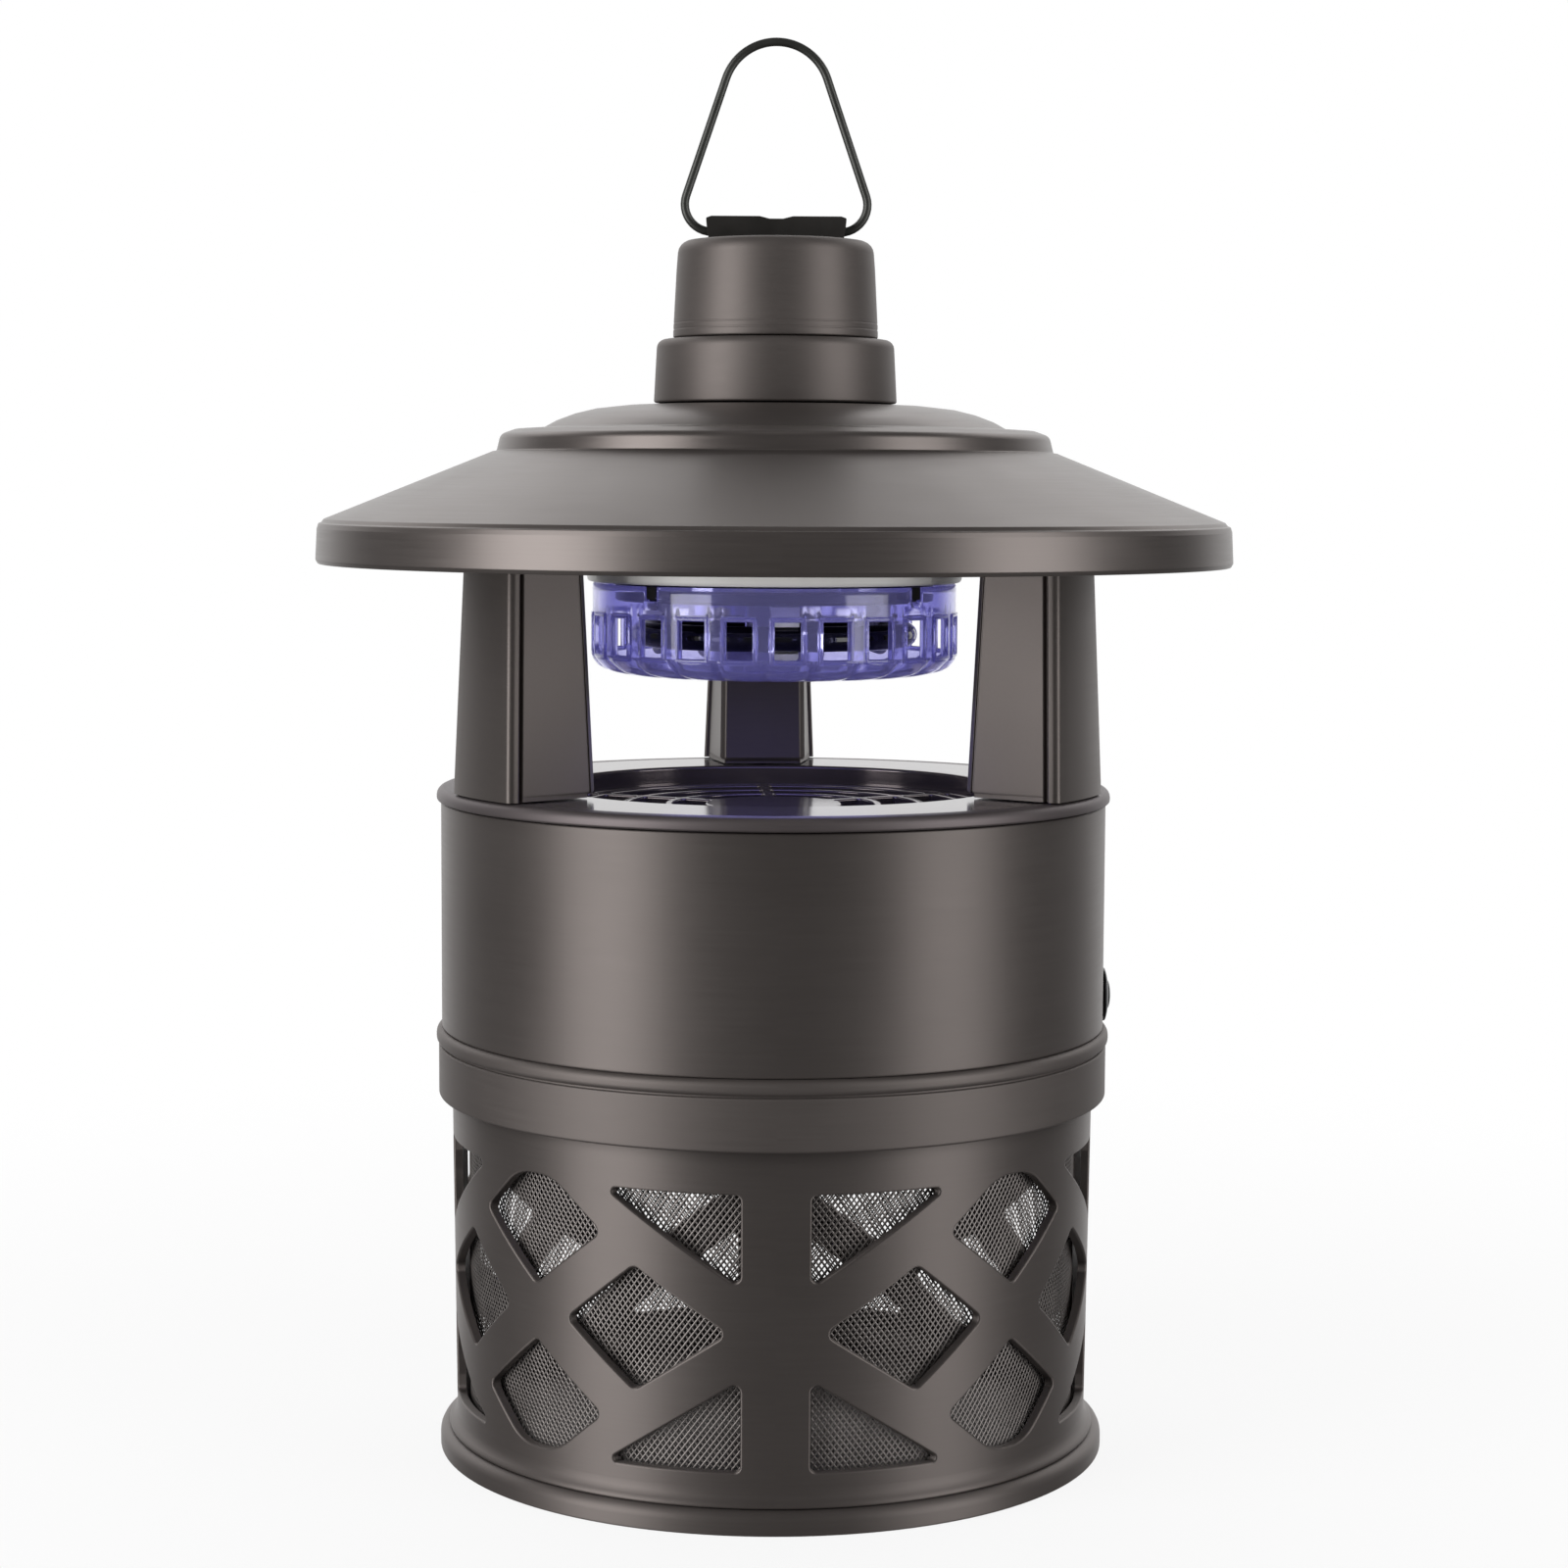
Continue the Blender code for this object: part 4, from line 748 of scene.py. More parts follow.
def disc(radius, bottom, top, centre=(0, 0), facets=32):
    """The two sections of an upright cylinder."""
    ring = [(centre[0] + radius * math.cos(2 * math.pi * step / facets),
             centre[1] + radius * math.sin(2 * math.pi * step / facets))
            for step in range(facets)]
    return [[Vector((x, y, z)) for x, y in ring] for z in (bottom, top)]


def cut(made, tool):
    """Cut a tool out of a piece and put the tool away."""
    modified(made, "cut", "BOOLEAN", operation="DIFFERENCE", solver="EXACT", object=tool)
    graph = bpy.context.evaluated_depsgraph_get()
    mesh = bpy.data.meshes.new_from_object(made.evaluated_get(graph))
    made.modifiers.clear()
    made.data = mesh
    bpy.data.objects.remove(tool)
    mesh.shade_smooth()
    mesh.set_sharp_from_angle(angle=math.radians(35))
    return made


def make_collar():
    """The ring that twists over the head's spigot: a groove and a bead run round
    it, three lugs stand inside it and its ledge rests on the cage."""
    groove = 91.7
    outline = rounded([(COLLAR_RADIUS, COLLAR_BOTTOM, 0.6), (COLLAR_RADIUS, groove, 0.45),
                       (COLLAR_RADIUS - 0.6, groove + 0.05), (COLLAR_RADIUS - 0.6, groove + 0.4),
                       (BEAD_RADIUS, groove + 0.45, 1.2), (BEAD_RADIUS, COLLAR_TOP, 1.5),
                       (COLLAR_BORE, COLLAR_TOP, 0.3), (COLLAR_BORE, LEDGE_TOP),
                       (LEDGE_RADIUS, LEDGE_TOP, 0.2), (LEDGE_RADIUS, LEDGE_BOTTOM, 0.2),
                       (COLLAR_BORE, LEDGE_BOTTOM), (COLLAR_BORE, COLLAR_BOTTOM, 0.3)])
    build = blocks([sector(LEDGE_RADIUS + 0.1, COLLAR_BORE + 0.5, azimuth, LUG_WIDTH,
                           LUG_BOTTOM, LUG_TOP) for azimuth in LUG_AZIMUTHS])
    add_lathe(build, outline)
    collar = weighted(finish_mesh("twist_collar", build))
    return keep(collar, "cap", "collar", "bronze_plastic", "locking_collar")


def make_shell():
    """The housing, with three L-shaped slots for the lugs in its spigot and holes
    for the switch and the inlet."""
    within = SHELL_RADIUS - WALL - 0.2
    bore = SPIGOT_RADIUS - WALL
    outline = rounded([(SHELL_RADIUS, SHELL_TOP, 0.4), (within, SHELL_TOP),
                       (within, SHELL_BOTTOM + 1.2), (bore + 0.6, SHELL_BOTTOM - 1.2),
                       (bore, SHELL_BOTTOM - 2.6), (bore, SPIGOT_BOTTOM, 0.3),
                       (SPIGOT_RADIUS, SPIGOT_BOTTOM, 0.4), (SPIGOT_RADIUS, SHELL_BOTTOM),
                       (SHELL_RADIUS, SHELL_BOTTOM, 0.5)])
    shell = lathe("fan_housing", outline)
    reach = LUG_WIDTH + 2 * LUG_CLEARANCE
    inner, outer = bore - 1, SPIGOT_RADIUS + 0.4
    tools = [sector(inner, outer, azimuth - TWIST / 2, reach + TWIST, LUG_BOTTOM - 0.5,
                    LUG_TOP + 0.5, 24) for azimuth in LUG_AZIMUTHS]
    cut(shell, finish_mesh("slot_runs", blocks(tools)))
    tools = [sector(inner, outer, azimuth - TWIST, reach, SPIGOT_BOTTOM - 1, LUG_TOP + 0.4)
             for azimuth in LUG_AZIMUTHS]
    cut(shell, finish_mesh("slot_entries", blocks(tools)))
    for radius, height, turn in ((5.0, SWITCH_HEIGHT, 0), (5.5, INLET_HEIGHT, 90)):
        tool = loft("side_hole", disc(radius, within - 8, SHELL_RADIUS + 16))
        cut(shell, lay_along_x(tool, height, turn))
    return keep(weighted(shell), "bronze", "head", "bronze_plastic", "body_shell")


def make_deck():
    """The raised ring round the grille, a locating ring below it and the bosses
    for the duct's screws."""
    underside = GRILLE_BOTTOM
    locating = SHELL_RADIUS - WALL - 0.5
    throat = GRILLE_RADIUS + 0.3
    low_edge = SHELL_TOP + 0.3
    boss_circle, boss_radius = 56.0, 3.2
    outline = rounded([(DECK_RADIUS, low_edge, 0.55), (DECK_RADIUS, DECK_TOP, 1.8),
                       (throat, DECK_TOP, 0.7),
                       (throat, underside, 0.2), (locating - WALL, underside, 0.4),
                       (locating - WALL, underside - 3), (locating, underside - 3, 0.4),
                       (locating, low_edge)])
    build = blocks([disc(boss_radius, TAB_TOP + 0.4, underside + 0.5,
                         polar(boss_circle, HEAD_TURN + 120 * index, 0).xy)
                    for index in range(3)])
    add_lathe(build, outline)
    deck = weighted(finish_mesh("deck", build))
    return keep(deck, "deck", "head", "bronze_plastic", "deck_ring")


def make_grille():
    """Flat rings and spokes over the fan, with their upper edges rounded off."""
    rings = [14.5, 23.5, 33.5, 43.6, GRILLE_RADIUS]
    spokes = 6
    ring_width, spoke_width, rim_width = 1.7, 2.2, 2.4
    longest = 2.2
    half_sector = 180 / spokes
    holes = []
    for inner, outer in zip(rings, rings[1:]):
        start = inner + ring_width / 2
        end = outer - (rim_width if outer == GRILLE_RADIUS else ring_width / 2)
        for spoke in range(spokes):
            middle = HEAD_TURN + half_sector * (2 * spoke + 1)
            steps = max(6, round(end * math.radians(2 * half_sector) / longest))
            arc = []
            for radius, order in ((end, 1), (start, -1)):
                half = half_sector - math.degrees(spoke_width / 2 / radius)
                for step in range(steps + 1):
                    azimuth = middle + order * half * (2 * step / steps - 1)
                    point = polar(radius, azimuth, 0)
                    ends = step in (0, steps)
                    arc.append((point.x, point.y, 0.9) if ends else (point.x, point.y))
            holes.append(spaced(rounded(arc), longest))
    border = [tuple(polar(GRILLE_RADIUS, 360 * step / FACETS, 0).xy) for step in range(FACETS)]
    sheet = Sheet()
    thickness = DECK_FLOOR - GRILLE_BOTTOM

    def place(point, depth, lean, out):
        normal = Vector((lean[0], lean[1], out))
        return Vector((point[0], point[1], DECK_FLOOR - depth)), normal.normalized()

    add_pierced(sheet, border, holes, [], thickness, 0.45, place)
    rows = []
    for height in (DECK_FLOOR, GRILLE_BOTTOM):
        rows.append([sheet.add(polar(GRILLE_RADIUS, 360 * step / FACETS, height),
                               polar(1, 360 * step / FACETS, 0)) for step in range(FACETS)])
    sheet.band(rows[1], rows[0])
    return keep(sheet.make("fan_grille"), "deck", "head", "bronze_plastic", "fan_guard")


# ---------------------------------------------------------------- fan parts

DUCT_RADIUS = 48.6
MOTOR_RADIUS = high("fan_motor").x


def make_duct():
    """The air duct: a tube, the motor's cup on three struts, and three screw tabs."""
    outer = DUCT_RADIUS + WALL - 0.2
    top = GRILLE_BOTTOM - 0.3
    mouth = 106.0
    cup = MOTOR_RADIUS + 0.3
    cup_floor, cup_top, cup_hole = 103.7, 113.0, 7.0
    strut_foot, strut_height, strut_half = 103.0, 9.0, 2.0
    tab_half, tab_reach = 4.0, outer + 9
    tube = rounded([(outer, top), (outer, mouth), (outer - 0.9, mouth - 0.8, 0.4),
                    (DUCT_RADIUS, mouth), (DUCT_RADIUS, top, 0.4)])
    holder = rounded([(cup_hole, cup_floor), (cup, cup_floor), (cup, cup_top, 0.3),
                      (cup + WALL, cup_top, 0.5), (cup + WALL, cup_floor - WALL, 1.0),
                      (cup_hole, cup_floor - WALL)])
    strut = rounded([(-strut_half, 0, 0.5), (strut_half, 0, 0.5),
                     (strut_half, strut_height, 0.5), (-strut_half, strut_height, 0.5)])
    tab = rounded([(outer - 1, -tab_half), (tab_reach, -tab_half, 3), (tab_reach, tab_half, 3),
                   (outer - 1, tab_half)])
    build = bmesh.new()
    add_lathe(build, tube, 128)
    add_lathe(build, holder, 96)
    for azimuth in (45, 165, 285):
        add_loft(build, [turned([(radius, across, strut_foot + up) for across, up in strut], azimuth)
                         for radius in (cup + 1.1, DUCT_RADIUS + 0.9)])
    for index in range(3):
        add_loft(build, [turned([(*point, height) for point in tab], HEAD_TURN + 120 * index)
                         for height in (TAB_TOP - 2.0, TAB_TOP)])
    duct = weighted(finish_mesh("air_duct", build))
    keep(duct, "black", "head", "black_plastic", "fan_duct")


def make_motor():
    bottom, shoulder = low("fan_motor").z, 120.0
    seam = 108.0
    boss, boss_top = 7.0, shoulder + 1.4
    bore = 4.3
    outline = rounded([(MOTOR_RADIUS, bottom, 1.2), (MOTOR_RADIUS, seam, 0.4),
                       (MOTOR_RADIUS - 0.3, seam + 0.3), (MOTOR_RADIUS - 0.3, seam + 0.8),
                       (MOTOR_RADIUS, seam + 1.1, 0.4), (MOTOR_RADIUS, shoulder, 1.6),
                       (boss, shoulder), (boss, boss_top, 0.4), (bore, boss_top), (bore, bottom)])
    keep(weighted(lathe("motor_can", outline, 96)), "steel", "head", "steel", "fan_motor")


def make_rotor():
    """A hub with five twisted blades, whose pitch flattens towards the tip."""
    bottom, top = low("fan_rotor").z, high("fan_rotor").z
    middle = (bottom + top - 1.5) / 2
    hub, tip = 15.0, 44.6
    most_rise = 6.2
    chord_steps = 8
    outline = rounded([(0, top - 2.5), (1.7, top - 2.5), (1.7, bottom), (hub - 1.5, bottom),
                       (hub, bottom, 0.5), (hub, top, 2.6), (6.5, top, 0.5), (5.5, top - 0.8, 0.5),
                       (0, top - 0.8)])
    build = bmesh.new()
    add_lathe(build, outline, 96)
    count = 5
    stations = 12
    for index in range(count):
        sections = []
        for station in range(stations + 1):
            part = station / stations
            radius = hub - 1.0 + (tip - hub + 1.0) * part
            pitch = math.radians(50 - 26 * part)
            half_chord = (7.5 + 5.5 * part) * (1 - 0.10 * part ** 6)
            reach = min(half_chord * math.sin(pitch), most_rise)
            run = half_chord * math.cos(pitch)
            upper = []
            lower = []
            for step in range(chord_steps + 1):
                across = 2 * step / chord_steps - 1
                camber = 1.3 * (1 - across ** 2) * (0.5 + 0.5 * part)
                thick = 0.25 + 0.6 * math.sqrt(max(0.0, 1 - across ** 2))
                rise = max(min(across * reach + camber, most_rise), -most_rise)
                upper.append((across * run, rise + thick))
                lower.append((across * run, rise - thick))
            sections.append(turned([(radius, across, middle + rise)
                                    for across, rise in upper + lower[::-1]],
                                   360 / count * index))
        add_loft(build, sections)
    rotor = weighted(finish_mesh("suction_fan", build))
    return keep(rotor, "black", "fan", "black_plastic", "fan_rotor")


# ----------------------------------------------------------- switch, inlet

def make_switch():
    """The switch's body with its flange, and the domed button in it. Their
    outlines are drawn along the axis that points out of the wall."""
    face = 75.5
    wall = SHELL_RADIUS + 0.3
    back = low("switch_housing").x
    barrel, flange, mouth, bore, guide = 4.7, 6.0, 3.75, 2.2, 72.2
    outline = rounded([(0, back), (barrel, back, 0.3), (barrel, wall), (flange, wall, 0.1),
                       (flange, wall + 0.45, 0.35), (mouth + 0.85, face, 0.25), (mouth, face, 0.2),
                       (mouth, guide), (bore, guide), (bore, back + 1.6), (0, back + 1.6)])
    body = lathe("switch_body", outline, 48)
    keep(lay_along_x(weighted(body), SWITCH_HEIGHT), "black", "head", "black_plastic",
         "switch_housing")
    crown = high("switch_button").x
    tip = low("switch_button").x
    radius, stem, collar, dome = 3.4, 1.8, 74.2, 0.8
    outline = [(0, crown)]
    for angle in (15, 30, 45, 60, 75, 86):
        turn = math.radians(angle)
        outline.append((radius * math.sin(turn), crown - dome * (1 - math.cos(turn))))
    outline += [(radius, crown - 1.1), (radius, collar), (stem, collar), (stem, tip), (0, tip)]
    button = lathe("push_button", outline, 48)
    keep(lay_along_x(button, SWITCH_HEIGHT), "black", "button", "black_plastic", "switch_button")


def make_inlet():
    face = high("power_inlet").y
    back = 63.0
    wall = SHELL_RADIUS + 0.3
    barrel, flange, bore = 5.2, 7.5, 3.4
    outline = rounded([(0, back), (barrel, back, 0.4), (barrel, wall), (flange, wall, 0.1),
                       (flange, face, 0.6), (bore, face, 0.3), (bore, back + 3.0), (0, back + 3.0)])
    inlet = lathe("power_socket", outline, 64)
    keep(lay_along_x(weighted(inlet), INLET_HEIGHT, 90), "black", "head", "black_plastic",
         "power_inlet")


# ------------------------------------------------------------------ posts

def post_section(height):
    """A post's outline at a height: a curved outer plate with a rounded edge, a
    groove, a flat side that tapers inwards and a narrow inner strip."""
    part = (height - POST_BOTTOM) / (POST_TOP - POST_BOTTOM)
    outer = 74.7 - 1.9 * part
    inner = 50.6 + 2.5 * part
    half = 13.4 - 2.1 * part
    half_inner = 9.8 - 0.5 * part
    edge = math.sqrt(outer ** 2 - half ** 2)
    shoulder = half - 1.0
    half_outline = [(edge - 0.05, half, 1.5), (edge - 2.5, half, 0.5), (edge - 2.6, half - 1.9, 0.3),
                    (edge - 3.4, half - 2.0, 0.3), (edge - 3.6, shoulder, 0.4),
                    (inner + 1.9, half_inner + 0.35, 0.15), (inner + 1.8, half_inner - 0.1),
                    (inner + 1.45, half_inner - 0.15), (inner + 1.35, half_inner + 0.2, 0.15),
                    (inner, half_inner - 0.8, 0.8)]
    arc = []
    count = 14
    for index in range(1, count):
        across = (half - 1.7) * (2 * index / count - 1)
        arc.append((math.sqrt(outer ** 2 - across ** 2), across))
    other = [(corner[0], -corner[1], *corner[2:]) for corner in reversed(half_outline)]
    return rounded(arc + half_outline + other, 6)


def make_posts():
    """The outer plate reaches down to the deck and the rest stands on a narrower
    plinth, so that a dark gap runs under the sides."""
    plinth = POST_BOTTOM + 1.0
    foot = plinth + 0.5
    plate = 69.0
    steps = 12
    levels = [(POST_BOTTOM, 0.9, 52.4), (plinth - 0.02, 0.9, 52.4), (plinth, 0.965, 51.1),
              (foot, 1, 0)]
    levels += [(foot + (POST_TOP - foot) * (step + 1) / steps, 1, 0) for step in range(steps)]
    for name, azimuth in POST_AZIMUTHS.items():
        sections = []
        for height, narrower, innermost in levels:
            points = [(max(along, innermost), across * (narrower if along < plate else 1), height)
                      for along, across in post_section(height)]
            sections.append(turned(points, azimuth + HEAD_TURN))
        post = weighted(loft(name.replace("post", "column"), sections))
        keep(post, "bronze", "head", "bronze_plastic", name)


# ------------------------------------------------------------------- roof

def cone_height(radius):
    """The height of the roof's slope, which starts under the dome's step."""
    return 223.6 - (radius - 62.0) * ROOF_SLOPE


def make_roof():
    """The roof from its neck hole over the dome, its step, the slope and the rim,
    and back inside. The white liner lies under it."""
    outside = [(22.0, ROOF_TOP), (27.0, ROOF_TOP - 0.05), (33.0, ROOF_TOP - 0.3),
               (40.0, ROOF_TOP - 1.1), (44.5, ROOF_TOP - 2.2), (48.5, ROOF_TOP - 3.7),
               (51.3, 228.75, 1.2), (57.6, 228.35, 1.6), (60.9, 227.2, 2.0), (61.8, 223.5, 0.5),
               (62.6, cone_height(62.6) + 0.1, 0.3), (99.7, cone_height(99.7), 0.5),
               (100.3, 207.7, 0.2), (100.9, 207.5, 0.3), (101.25, 206.4, 0.5),
               (ROOF_RADIUS, 199.6, 0.6), (ROOF_RADIUS - 0.5, ROOF_BOTTOM, 0.3)]
    within = [(99.5, ROOF_BOTTOM, 0.3), (99.2, 205.4, 0.5), (98.0, cone_height(98.0) - 2.2),
              (62.0, cone_height(62.0) - 2.2), (52.0, 226.6), (40.0, ROOF_TOP - 3.4),
              (22.0, ROOF_TOP - 2.4)]
    roof = lathe("lantern_roof", rounded(outside + within), 192)
    keep(weighted(roof), "roof", "head", "bronze_plastic", "roof")

    liner_low, liner_top = low("roof_liner").z, high("roof_liner").z
    liner_radius = high("roof_liner").x
    hole, groove = 3.0, 86.0
    outline = rounded([(hole, liner_top), (liner_radius, liner_top),
                       (liner_radius, liner_low, 0.4), (groove + 2, liner_low),
                       (groove, liner_low + 0.6), (groove - 2, liner_low), (hole, liner_low)])
    liner = weighted(lathe("roof_underside", outline))
    keep(liner, "white", "head", "white_plastic", "roof_liner")


# ------------------------------------------------------------------- lamp

HOLDER_LOW = low("lamp_holder").z
UNDER_HOLDER = HOLDER_LOW - 0.3


def make_carrier():
    """The white plate under the liner, and the black carrier under it with the
    guard's four keys."""
    top = high("lamp_plate").z
    lead_hole = 6.0
    outline = rounded([(lead_hole, top), (PLATE_RADIUS, top, 0.3),
                       (PLATE_RADIUS, PLATE_BOTTOM, 0.9), (lead_hole, PLATE_BOTTOM)])
    plate = weighted(lathe("lamp_disc", outline))
    keep(plate, "white", "head", "white_plastic", "lamp_plate")

    top = PLATE_BOTTOM - 0.3
    radius, bore = 35.5, 5.0
    key_foot, key_half = 191.7, 1.3
    key = rounded([(-key_half, key_foot, 0.3), (key_half, key_foot, 0.3),
                   (key_half, top - 0.05), (-key_half, top - 0.05)])
    build = bmesh.new()
    add_lathe(build, rounded([(bore, top), (radius, top, 0.3), (radius, HOLDER_LOW, 0.8),
                              (bore, HOLDER_LOW)]), 128)
    for azimuth in KEY_AZIMUTHS:
        add_loft(build, [turned([(along, *point) for point in key], azimuth + GUARD_TURN)
                         for along in (radius - 2.5, GUARD_BAND_RADIUS - 0.1)])
    holder = weighted(finish_mesh("lamp_carrier", build))
    keep(holder, "black", "head", "black_plastic", "lamp_holder")


def make_lamp():
    """The ring lamp, open at the back where its base sits, and its three hooks."""
    base_half = 6.0
    open_half = math.degrees(math.asin((base_half + 0.3) / (LAMP_RING_RADIUS - LAMP_TUBE_RADIUS)))
    steps = 96
    sides = 20
    sections = []
    for step in range(steps + 1):
        azimuth = 180 + open_half + (360 - 2 * open_half) * step / steps
        ring = []
        for side in range(sides):
            angle = 2 * math.pi * side / sides
            radius = LAMP_RING_RADIUS + LAMP_TUBE_RADIUS * math.cos(angle)
            ring.append(polar(radius, azimuth, LAMP_HEIGHT + LAMP_TUBE_RADIUS * math.sin(angle)))
        sections.append(ring)
    keep(loft("ring_lamp", sections), "glass", "head", "lamp_glass", "uv_lamp")

    inner, outer = LAMP_RING_RADIUS - 5, LAMP_RING_RADIUS + 5
    outline = rounded([(inner, -base_half, 1), (outer, -base_half, 1), (outer, base_half, 1),
                       (inner, base_half, 1)])
    base = loft("ring_lamp_base", [turned([(x, y, height) for x, y in outline], 180)
                                   for height in (LAMP_HEIGHT - 4.2, UNDER_HOLDER)])
    keep(bevel(base, 0.4), "white", "head", "white_plastic", "lamp_base")
    for index in range(3):
        make_clip(index + 1, GUARD_TURN + 120 * index, UNDER_HOLDER)


def make_clip(index, azimuth, top):
    """A hook under the carrier: it runs down inside the lamp's tube and ends below
    it in a half-round tongue."""
    inner = LAMP_TUBE_RADIUS + 0.35
    outer = inner + 1.1
    half_width = 3.1
    bend = [math.radians(60 + 210 * step / 24) for step in range(25)]
    steps = 16
    sections = []
    for step in range(steps + 1):
        part = -math.cos(math.pi * step / steps)
        full = math.sqrt(max(0.0, 1 - part * part))
        outline = [(math.cos(angle) * inner, math.sin(angle) * inner) for angle in bend]
        outline.append((0, -inner - 0.5 - 1.85 * full))
        outline.append((-1.5, -inner - 0.7 - 1.2 * full))
        outline += [(math.cos(angle) * outer, math.sin(angle) * outer) for angle in bend[17:7:-1]]
        outline += [(-2.0, outer + 0.3), (-2.0, top - LAMP_HEIGHT), (2.0, top - LAMP_HEIGHT),
                    (2.0, outer - 0.4), (0.5 * outer, 0.866 * outer)]
        sections.append([Vector((LAMP_RING_RADIUS + along, part * half_width, LAMP_HEIGHT + up))
                         for along, up in outline])
    hook = loft(f"lamp_hook_{index}", [turned(section, azimuth) for section in sections])
    keep(bevel(hook, 0.15), "white", "head", "white_plastic", f"lamp_clip_{index}")


def make_guard():
    """A clear cup: a plain band above, a ring of windows with raised borders, and
    a scalloped floor, each sector swelling between its two cusps. Each row of
    corners has a growth from the band's radius, a height, and shares of the raised
    border and of the swell.
    Windows and the notches for the keys are faces left out."""
    sector_half = math.pi * GUARD_RADIUS / GUARD_WINDOWS
    half = 3.05
    border = 3.95
    raised = 0.35
    window_bottom, window_top = 179.3, 187.3
    notch_bottom, notch_half = 191.3, 1.7
    sides = [0.85, 1.7, 2.4, half, 3.25, 3.75, border, 4.7]
    across = [-side for side in reversed(sides)] + [0.0] + sides + [sector_half]
    rows = [(-0.25, GUARD_TOP, 0, 0), (0, GUARD_TOP - 0.3, 0, 0), (0, 192.8, 0, 0),
            (0, notch_bottom, 0, 0), (0, 189.2, 0, 0), (0.05, 188.2, 0, 0),
            (0, 188.0, 0.35, 0), (0, 187.5, 0.35, 0), (0, window_top, 0.1, 0),
            (0, 184.6, 0, 0), (0, 182.0, 0, 0), (0, window_bottom, 0.1, 0),
            (0, 179.1, 0.35, 0), (0, 178.6, 0.35, 0), (0, 178.4, 0, 0.2),
            (-0.2, 177.9, 0, 0.5), (-0.8, 177.2, 0, 0.8), (-1.8, 176.4, 0, 1.0),
            (-3.2, 175.6, 0, 1.0), (-5.2, 175.0, 0, 0.9), (-7.8, 174.5, 0, 0.7),
            (-12.0, 174.1, 0, 0.3)]
    rows += [(radius - GUARD_BAND_RADIUS, GUARD_BOTTOM, 0, 0) for radius in (22.0, 14.0, 6.0)]
    build = bmesh.new()
    grid = []
    for growth, height, raise_border, swell in rows:
        radius = GUARD_BAND_RADIUS + growth
        row = []
        for window in range(GUARD_WINDOWS):
            for along in across:
                here = radius
                size = abs(along)
                beside = window_bottom - 0.8 < height < window_top + 0.8
                if half < size < border - 0.05 and beside or raise_border > 0.2 and size < border:
                    here += raised
                part = size / sector_half
                here += swell * (0.55 - 1.1 * part ** 2.5) if swell else 0
                azimuth = GUARD_TURN + 360 / GUARD_WINDOWS * window
                azimuth += math.degrees(along / GUARD_RADIUS)
                lower_by = 0.25 * swell * (1 - part ** 2.5) if radius < 39 else 0
                row.append(build.verts.new(polar(here, azimuth, max(GUARD_BOTTOM, height - lower_by))))
        grid.append(row)
    count = len(grid[0])
    for upper, lower, high_row, low_row in zip(grid, grid[1:], rows, rows[1:]):
        top_height, bottom_height = high_row[1], low_row[1]
        for index in range(count):
            window, column = divmod(index, len(across))
            last = column + 1 == len(across)
            middle_side = sector_half if last else abs(across[column] + across[column + 1]) / 2
            in_window = (middle_side < half and bottom_height > window_bottom - 0.01
                         and top_height < window_top + 0.01)
            notch = (window % 6 == 3 and middle_side < notch_half
                     and bottom_height > notch_bottom - 0.01)
            if in_window or notch:
                continue
            after = (index + 1) % count
            build.faces.new((upper[index], upper[after], lower[after], lower[index]))
    build.faces.new(grid[-1])
    guard = finish_mesh("lamp_cover", build, sharp=40)
    modified(guard, "wall", "SOLIDIFY", thickness=1.4 * MILLIMETRE, offset=-1, use_even_offset=True)
    bevel(guard, 0.12, 1, 50)
    return keep(guard, "violet", "guard", "violet_plastic", "lamp_guard")


# -------------------------------------------------------- neck, cap, loop

def make_neck():
    """The neck and the cap on it, whose foot carries two thin grooves."""
    base = low("neck_ring").z
    bore, seal_seat, hole, shoulder = 23.4, 26.2, 17.0, 241.0
    outline = rounded([(bore, base + 1.3), (seal_seat, base + 1.3), (seal_seat, base, 0.2),
                       (NECK_RADIUS, base, 0.5), (NECK_RADIUS - 0.35, shoulder),
                       (NECK_RADIUS - 0.75, NECK_TOP, 2.0), (hole, NECK_TOP),
                       (hole, NECK_TOP - WALL), (bore, NECK_TOP - WALL - 1)])
    keep(weighted(lathe("neck", outline, 128)), "cap", "head", "bronze_plastic", "neck_ring")

    base = low("top_cap").z
    screw_hole, roof_thickness = 2.2, 2.5
    outline = rounded([(screw_hole, CAP_TOP), (screw_hole, CAP_TOP - roof_thickness),
                       (19.6, CAP_TOP - roof_thickness), (20.4, base),
                       (CAP_RADIUS, base, 0.4), (CAP_RADIUS, base + 1.6, 0.1),
                       (CAP_RADIUS - 0.1, base + 1.75), (CAP_RADIUS - 0.1, base + 1.95),
                       (CAP_RADIUS - 0.05, base + 2.1, 0.1), (CAP_RADIUS - 0.05, base + 3.0, 0.1),
                       (CAP_RADIUS - 0.15, base + 3.15), (CAP_RADIUS - 0.15, base + 3.3),
                       (CAP_RADIUS - 0.1, base + 3.45, 0.1), (CAP_RADIUS - 0.7, 263.5),
                       (CAP_RADIUS - 1.2, CAP_TOP, 2.9)])
    keep(weighted(lathe("cap", outline, 128)), "cap", "head", "bronze_plastic", "top_cap")


